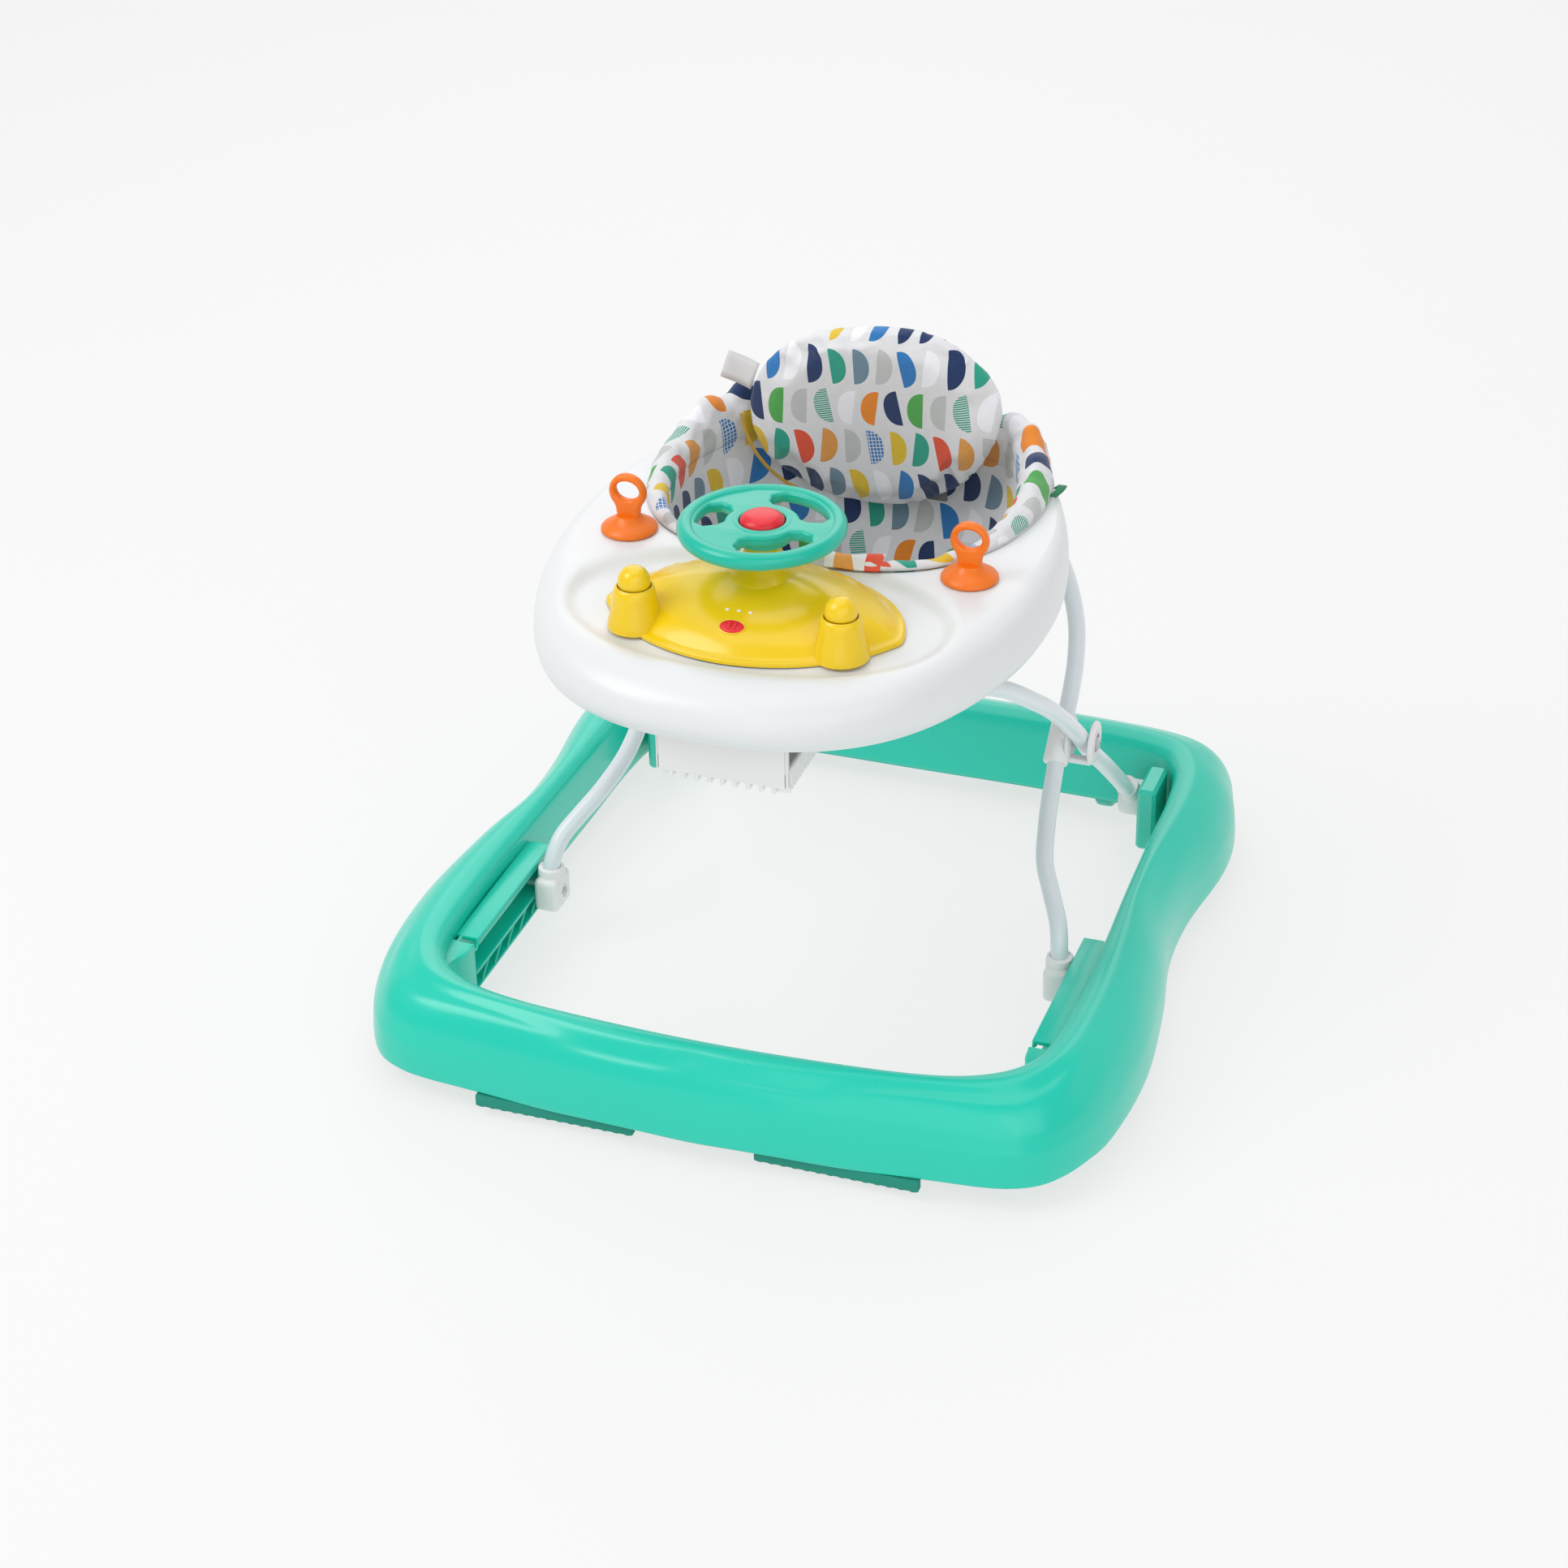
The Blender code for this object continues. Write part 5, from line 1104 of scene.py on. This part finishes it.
def stand(across, up, thick):
    """A point of the seat back, from its flat pattern."""
    low_wrap = 1.4 * ease((0.135 - up) / 0.09)
    curve = (BACK_CURVE + low_wrap) * across * across
    return Vector((across, BACK_FOOT[0] + up * math.sin(BACK_LEAN) - (thick + curve) * math.cos(BACK_LEAN),
                   BACK_FOOT[1] + up * math.cos(BACK_LEAN) + (thick + curve) * math.sin(BACK_LEAN)
                   + BACK_TWIST * across))


def pad_outline(inset=0.0, steps=5):
    """The seat back's outline on the flat, drawn in by a margin."""
    half = [Vector((x, z, 0.0)) for x, z in PAD_HALF]
    ends = [Vector((-half[1].x, half[1].y, 0)), *half, Vector((-half[-2].x, half[-2].y, 0))]
    line = curve_points(ends, steps)[steps:-steps]
    ring = line + [Vector((-p.x, p.y, 0)) for p in reversed(line[1:-1])]
    return [mix(PAD_MIDDLE, p, 1.0 - inset) for p in ring]


def puff(obj, pressure, limit, voxel):
    """Swell a closed cloth form with air, then keep the result, moved no further than a limit."""
    remesh = obj.modifiers.new("even", "REMESH")
    remesh.mode = "VOXEL"
    remesh.voxel_size = voxel
    settle(obj)
    before = [v.co.copy() for v in obj.data.vertices]
    scene = bpy.context.scene
    cloth = obj.modifiers.new("cloth", "CLOTH")
    cloth.settings.use_pressure = True
    cloth.settings.uniform_pressure_force = pressure
    cloth.settings.tension_stiffness = 12.0
    cloth.settings.bending_stiffness = 0.4
    cloth.settings.effector_weights.gravity = 0.0
    cloth.point_cache.frame_end = 20
    for number in range(1, 21):
        scene.frame_set(number)
    settle(obj)
    scene.frame_set(1)
    for vert, start in zip(obj.data.vertices, before):
        move = vert.co - start
        if move.length > limit:
            vert.co = start + move.normalized() * limit
    subdivide(obj, 1)
    return settle(obj)


def build_seat(shape):
    """The printed sling, its padded rim, the seat back, its piping, label and elastic."""
    sling(shape)
    rim_pad()
    front_flap()
    seat_back(shape)
    label_and_elastic()


def wall_wave(turn, z, depth):
    """Soft upright folds in the hanging cloth."""
    down = ease((0.405 - z) / 0.05)
    fold = math.sin(turn * 9.0 + 0.7) * 0.5 + math.sin(turn * 17.0 + z * 40.0) * 0.3
    fold += 0.35 * math.sin(turn * 31.0 - z * 70.0)
    return depth * fold * down


def leg_line(sign):
    """The middle line of one leg hole."""
    return [Vector((sign * x, y, z)) for x, y, z in LEG_HOLE]


def sling(shape):
    """The cloth bucket hung in the tray, with two leg holes."""
    ring = whole_ring([[near, far] for near, far in half_plan(SLING_PLAN, 7)])
    middle = Vector((0.0, 0.052, 0.0))
    rows = []
    for near, far in ring:
        turn = around(near)
        inward = (far - near).normalized()
        row = []
        for f, z in SLING_SECTION:
            p = mix(near, far, f) + inward * (wall_wave(turn, z, shape.fold_depth) + shape.fold_depth)
            row.append(Vector((p.x, p.y, z)))
        for f, z in ((0.30, 0.2175), (0.62, 0.2165), (0.90, 0.2160)):
            p = mix(far, middle, f)
            row.append(Vector((p.x, p.y, z)))
        rows.append(row)
    bm = bmesh.new()
    made = grid(bm, rows, round_rows=True)
    cap(bm, [row[-1] for row in made])
    bucket = from_bmesh("sling", bm)
    subdivide(bucket, 1)
    settle(bucket)
    for sign in SIDES.values():
        cutter = bmesh.new()
        sweep(cutter, leg_line(sign), LEG_HOLE_R, 40)
        tool = from_bmesh("cutter", cutter)
        cut = bucket.modifiers.new("leg", "BOOLEAN")
        cut.object = tool
        cut.solver = "FAST"
        settle(bucket)
        bpy.data.objects.remove(tool)
    bm = bmesh.new()
    bm.from_mesh(bucket.data)
    away = []
    for face in bm.faces:
        p = face.calc_center_median()
        for sign in SIDES.values():
            start, end = leg_line(sign)
            along = (end - start).normalized()
            offset = p - start
            reach = offset.dot(along)
            if -0.002 < reach < 0.3 and (offset - along * reach).length < LEG_HOLE_R - 0.0003:
                away.append(face)
                break
    bmesh.ops.delete(bm, geom=away, context="FACES")
    bm.to_mesh(bucket.data)
    bm.free()
    set_print(bucket, bucket_place)
    wall = bucket.modifiers.new("wadding", "SOLIDIFY")
    wall.thickness = 0.0030
    wall.offset = -1.0
    dress(bucket, "printed_cotton", "tray", "seat_print", "seat_sling", angle=70)


def rim_size(turn):
    """The padded rim's width over the tray and its height, at an angle from the rear."""
    side = abs(turn)
    full = ease((2.35 - side) / 1.2)
    wing = ease((1.55 - side) / 0.60)
    return mix(0.0050, 0.0215, full), mix(0.0045, 0.0200, full) + 0.0150 * wing


def rim_pad():
    """The padded edge that wraps the tray's hole, fuller at the sides and the rear."""
    ring = whole_ring([[near, far] for near, far in half_plan(SLING_PLAN, 9)])
    rows = []
    for near, far in ring:
        turn = around(near)
        inward = (far - near).normalized()
        width, height = rim_size(turn)
        ripple = 1.0 + 0.10 * math.sin(turn * 15.0 + 0.5) + 0.08 * math.sin(turn * 27.0)
        row = []
        for k in range(RIM_STEPS):
            angle = math.pi * (1.12 - 1.30 * k / (RIM_STEPS - 1))
            out = -inward * (width * 0.45 + 0.003) * -math.cos(angle)
            over = inward * (width * 0.30)
            lift = height * max(math.sin(angle), -0.35) * ripple
            p = near + Vector((out.x, out.y, 0)) * 1.15 - over * 0.9
            row.append(Vector((p.x, p.y, TRAY_TOP + 0.0012 + lift)))
        rows.append(row)
    bm = bmesh.new()
    grid(bm, rows, round_rows=True, round_across=True)
    pad = from_bmesh("rim_pad", bm)
    layer = pad.data.uv_layers.new(name="print")
    for number, corner in enumerate(pad.data.loops):
        number_of_row, k = divmod(corner.vertex_index, RIM_STEPS)
        row = rows[number_of_row]
        reach = sum((b - a).length for a, b in zip(row[k:-1], row[k + 1:]))
        across, down = bucket_place(row[-1])
        layer.data[number].uv = (across, down - reach)
    subdivide(pad, 1)
    settle(pad)
    for vert in pad.data.vertices:
        turn, z = around(vert.co), vert.co.z
        crease = math.sin(turn * 23.0 + z * 260.0) + 0.6 * math.sin(turn * 41.0 - z * 380.0)
        vert.co += vert.normal * 0.0008 * crease * ease((z - TRAY_TOP) / 0.006)
    dress(pad, "printed_cotton", "tray", "seat_print", angle=80)
    bm = bmesh.new()
    sweep(bm, [row[1] + Vector((0, 0, 0.0006)) for row in rows], 0.0011, 8, closed=True)
    dress(set_print(from_bmesh("rim_piping", bm), bucket_place), "pale_piping", "tray", "seat_print")


def front_flap():
    """A fold of the printed cloth that turns over the front edge of the tray's hole."""
    bm = bmesh.new()
    rows = []
    for k in range(15):
        t = k / 14
        row = []
        for n in range(9):
            s = n / 8
            x = mix(0.020, 0.074, t) - 0.008 * s * (1.0 - t)
            y = mix(-0.0575, -0.0735, s) + 0.010 * t * t * (1.0 - 0.4 * s)
            puffed = math.sin(math.pi * min(s * 1.2, 1.0)) * (1.0 - 0.5 * t)
            puffed += 0.25 * math.sin(t * 9.0 + s * 4.0)
            lift = 0.0012 + 0.0058 * (1.0 - s * s) + 0.0042 * max(puffed, 0.0)
            row.append(Vector((x, y, TRAY_TOP + lift)))
        rows.append(row)
    grid(bm, rows)
    flap = from_bmesh("front_flap", bm)
    set_print(flap, bucket_place)
    wall = flap.modifiers.new("wadding", "SOLIDIFY")
    wall.thickness = 0.0016
    subdivide(flap, 1)
    dress(flap, "printed_cotton", "tray", "seat_print", angle=80)


def seat_back(shape):
    """The padded back: an outline filled on both faces, then swollen with air."""
    bm = bmesh.new()
    ring = pad_outline(0.010)
    draw_in = 0.016             # how far its faces are narrower than its middle

    def layer(share, level):
        return [stand(*mix(PAD_MIDDLE, p, share).xy, PAD_THICK * level) for p in ring]

    made = grid(bm, [layer(1.0 - draw_in * level * level, level) for level in (-1.0, -0.6, 0.0, 0.6, 1.0)],
                round_across=True)
    for face_ring, level in ((made[0], -1.0), (made[-1], 1.0)):
        outer = face_ring
        for step in (0.8, 0.6, 0.4, 0.2):
            inner = [bm.verts.new(p) for p in layer((1.0 - draw_in) * step, level)]
            for k in range(len(inner)):
                n = (k + 1) % len(inner)
                bm.faces.new((outer[k], outer[n], inner[n], inner[k]))
            outer = inner
        cap(bm, outer)
    pad = from_bmesh("back_pad", bm)
    puff(pad, shape.air_pressure, PAD_SWELL, 0.0050)
    set_print(pad, back_place)
    dress(pad, "printed_cotton", "tray", "seat_print", "seat_back_pad", angle=80)
    low = [p for p in pad_outline() if p.x < -0.060 and p.y < 0.105]
    low.sort(key=lambda p: p.y)
    bm = bmesh.new()
    sweep(bm, [stand(p.x * 1.012, p.y, 0.0035) for p in low], 0.0016, 8)
    dress(set_print(from_bmesh("mustard_edge", bm), back_place), "mustard_piping", "tray", "seat_print")


def label_and_elastic():
    """The blank ribbon label at the back's left edge, and the green elastic keeper."""
    low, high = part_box("seat_label")
    bm = bmesh.new()
    rows = []
    start = Vector((high.x + 0.0044, low.y, low.z - 0.0126))
    cos, sin = math.cos(LABEL_TILT), math.sin(LABEL_TILT)
    along, up = Vector((-cos, 0.0, sin)), Vector((sin, 0.0, cos))
    for k in range(9):
        t = k / 8
        wave = Vector((0.0, 0.0012 * math.sin(t * 4.0), 0.0))
        foot = start + along * LABEL_SIZE[0] * t + wave
        rows.append([foot + up * LABEL_SIZE[1] * s / 4 for s in range(5)])
    grid(bm, rows)
    tag = from_bmesh("ribbon_label", bm)
    set_print(tag, lambda p: (p.x, p.z))
    thin = tag.modifiers.new("thickness", "SOLIDIFY")
    thin.thickness = 0.0004
    dress(tag, "white_ribbon", "tray", "label_white", "seat_label")
    low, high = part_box("elastic_strap")
    middle = (low + high) / 2
    path = [middle + Vector(offset) for offset in ((-0.002, -0.0085, -0.004), (0.003, -0.005, 0.001),
                                                    (0.0045, 0.0, 0.0035), (0.003, 0.005, 0.001),
                                                    (-0.002, 0.0085, -0.004))]
    bm = bmesh.new()
    line = curve_points(path, 5)
    grid(bm, [[p + Vector((dx, 0, 0.0)) for dx in (-0.0035, -0.0012, 0.0012, 0.0035)] for p in line])
    keeper = from_bmesh("elastic_keeper", bm)
    set_print(keeper, lambda p: (p.y, p.x))
    thin = keeper.modifiers.new("thickness", "SOLIDIFY")
    thin.thickness = 0.0012
    dress(keeper, "green_elastic", "tray", "strap_green", "elastic_strap")


# ----------------------------------------------------------------------- the stage
def build_stage():
    """A pale floor that rises behind, soft studio lights, and the camera."""
    bm = bmesh.new()
    rows = []
    for x in (-FLOOR_HALF, FLOOR_HALF):
        line = [Vector((x, y, 0.0)) for y in (FLOOR_FRONT, 0.0, FLOOR_BEND)]
        line += [Vector((x, FLOOR_BEND + SWEEP_R * math.sin(a), SWEEP_R - SWEEP_R * math.cos(a)))
                 for a in (math.radians(9 * k) for k in range(1, 11))]
        line.append(Vector((x, FLOOR_BEND + SWEEP_R, 5.0)))
        rows.append(line)
    grid(bm, rows)
    floor = from_bmesh("studio_floor", bm)
    paper = bpy.data.materials.new("studio_paper")
    paper.use_nodes = True
    shader = paper.node_tree.nodes["Principled BSDF"]
    skin = use_group(paper, "moulded_skin", Colour=(0.220, 0.220, 0.220, 1.0), Roughness=0.8,
                     Grain_size=300.0, Edge_wear=0.0, Cloudiness=0.01)
    paper.node_tree.links.new(skin.outputs["Colour"], shader.inputs["Base Color"])
    paper.node_tree.links.new(skin.outputs["Roughness"], shader.inputs["Roughness"])
    shader.inputs["Emission Color"].default_value = (1.0, 1.0, 1.0, 1.0)
    shader.inputs["Emission Strength"].default_value = 0.70
    shader.inputs["Specular IOR Level"].default_value = 0.1
    floor.data.materials.append(paper)
    floor.data.shade_smooth()
    for name, spot, size, power in LIGHTS:
        lamp = bpy.data.lights.new(name, "AREA")
        lamp.size = size
        lamp.energy = power
        obj = link(bpy.data.objects.new(name, lamp))
        obj.location = spot
        obj.rotation_euler = (Vector((0, 0, 0.2)) - obj.location).to_track_quat("-Z", "Y").to_euler()
    world = bpy.data.worlds.new("studio")
    world.use_nodes = True
    world.node_tree.nodes["Background"].inputs["Color"].default_value = (0.97, 0.98, 1.0, 1.0)
    world.node_tree.nodes["Background"].inputs["Strength"].default_value = 0.48
    bpy.context.scene.world = world
    azimuth, elevation, roll = (math.radians(angle) for angle in CAMERA_TURN)
    back = Vector((math.sin(azimuth) * math.cos(elevation), -math.cos(azimuth) * math.cos(elevation),
                   math.sin(elevation)))
    right = Vector((math.cos(azimuth), math.sin(azimuth), 0.0))
    up = back.cross(right)
    across = right * math.cos(roll) + up * math.sin(roll)
    upward = up * math.cos(roll) - right * math.sin(roll)
    lens = bpy.data.cameras.new("view")
    lens.lens = CAMERA_LENS
    lens.sensor_width = 36.0
    camera = link(bpy.data.objects.new("view", lens))
    pose = Matrix((across, upward, back)).transposed().to_4x4()
    pose.translation = CAMERA_TARGET + back * CAMERA_AWAY
    camera.matrix_world = pose
    bpy.context.scene.camera = camera
    bpy.context.scene.view_settings.view_transform = "Standard"


# ---------------------------------------------------------------------- the add-on
class WalkerShape(bpy.types.PropertyGroup):
    """The measures that a maker may want to change"""
    groove_depth: bpy.props.FloatProperty(
        name="Groove depth", description="Depth of the flowing creases in the base", default=0.0030,
        min=0.0, max=0.005, unit="LENGTH")
    fold_depth: bpy.props.FloatProperty(
        name="Fold depth", description="Depth of the soft folds in the sling", default=0.0016,
        min=0.0, max=0.004, unit="LENGTH")
    air_pressure: bpy.props.FloatProperty(
        name="Filling", description="Pressure that swells the seat back", default=4.0, min=0.5, max=8.0)


class WalkerLook(bpy.types.PropertyGroup):
    """The measures of the finishes"""
    gloss: bpy.props.FloatProperty(
        name="Gloss", description="How shiny the coloured mouldings are", default=0.5, min=0.0, max=1.0,
        subtype="FACTOR")
    wear: bpy.props.FloatProperty(
        name="Edge wear", description="How far the mouldings' edges are rubbed pale", default=0.15,
        min=0.0, max=1.0, subtype="FACTOR")
    weave: bpy.props.FloatProperty(
        name="Weave", description="How strongly the threads stand out", default=0.5, min=0.0, max=1.0,
        subtype="FACTOR")


class WALKER_OT_materials(bpy.types.Operator):
    """Make the walker's finishes and put them on the frame's own parts"""
    bl_idname = "walker.materials"
    bl_label = "Finishes"

    def execute(self, context):
        make_materials(context.scene.walker_look)
        return {"FINISHED"}


class WALKER_OT_base(bpy.types.Operator):
    """Make the base ring with its slide channels, rubber strips and wheels"""
    bl_idname = "walker.base"
    bl_label = "Base"

    def execute(self, context):
        build_base(context.scene.walker_shape)
        return {"FINISHED"}


class WALKER_OT_legs(bpy.types.Operator):
    """Make the crossing leg tubes with their feet and brackets"""
    bl_idname = "walker.legs"
    bl_label = "Legs"

    def execute(self, context):
        build_legs()
        return {"FINISHED"}


class WALKER_OT_tray(bpy.types.Operator):
    """Make the tray, the toothed rack below it and the orange loops"""
    bl_idname = "walker.tray"
    bl_label = "Tray"

    def execute(self, context):
        build_tray()
        return {"FINISHED"}


class WALKER_OT_station(bpy.types.Operator):
    """Make the yellow toy station, its buttons and the steering wheel"""
    bl_idname = "walker.station"
    bl_label = "Toy station"

    def execute(self, context):
        build_station()
        return {"FINISHED"}


class WALKER_OT_seat(bpy.types.Operator):
    """Make the printed seat with its padded rim and back"""
    bl_idname = "walker.seat"
    bl_label = "Seat"

    def execute(self, context):
        build_seat(context.scene.walker_shape)
        return {"FINISHED"}


class WALKER_OT_stage(bpy.types.Operator):
    """Make the pale floor, the lights and the camera"""
    bl_idname = "walker.stage"
    bl_label = "Stage"

    def execute(self, context):
        build_stage()
        return {"FINISHED"}


STEPS = (WALKER_OT_materials, WALKER_OT_base, WALKER_OT_legs, WALKER_OT_tray, WALKER_OT_station,
         WALKER_OT_seat, WALKER_OT_stage)


class WALKER_PT_panel(bpy.types.Panel):
    """Lists the walker's measures and its steps"""
    bl_idname = "WALKER_PT_panel"
    bl_label = "Walker"
    bl_space_type = "VIEW_3D"
    bl_region_type = "UI"
    bl_category = "Walker"

    def draw(self, context):
        for group in (context.scene.walker_shape, context.scene.walker_look):
            for name in group.__annotations__:
                self.layout.prop(group, name)
        for step in STEPS:
            self.layout.operator(step.bl_idname)


CLASSES = (WalkerShape, WalkerLook, *STEPS, WALKER_PT_panel)


def register():
    """Add the walker's classes and settings to Blender."""
    for each in CLASSES:
        bpy.utils.register_class(each)
    bpy.types.Scene.walker_shape = bpy.props.PointerProperty(type=WalkerShape)
    bpy.types.Scene.walker_look = bpy.props.PointerProperty(type=WalkerLook)


def unregister():
    """Take them out again."""
    del bpy.types.Scene.walker_look
    del bpy.types.Scene.walker_shape
    for each in reversed(CLASSES):
        bpy.utils.unregister_class(each)


def main():
    """Build everything in order."""
    register()
    bpy.ops.walker.materials()
    bpy.ops.walker.base()
    bpy.ops.walker.legs()
    bpy.ops.walker.tray()
    bpy.ops.walker.station()
    bpy.ops.walker.seat()
    bpy.ops.walker.stage()


if __name__ == "__main__":
    main()
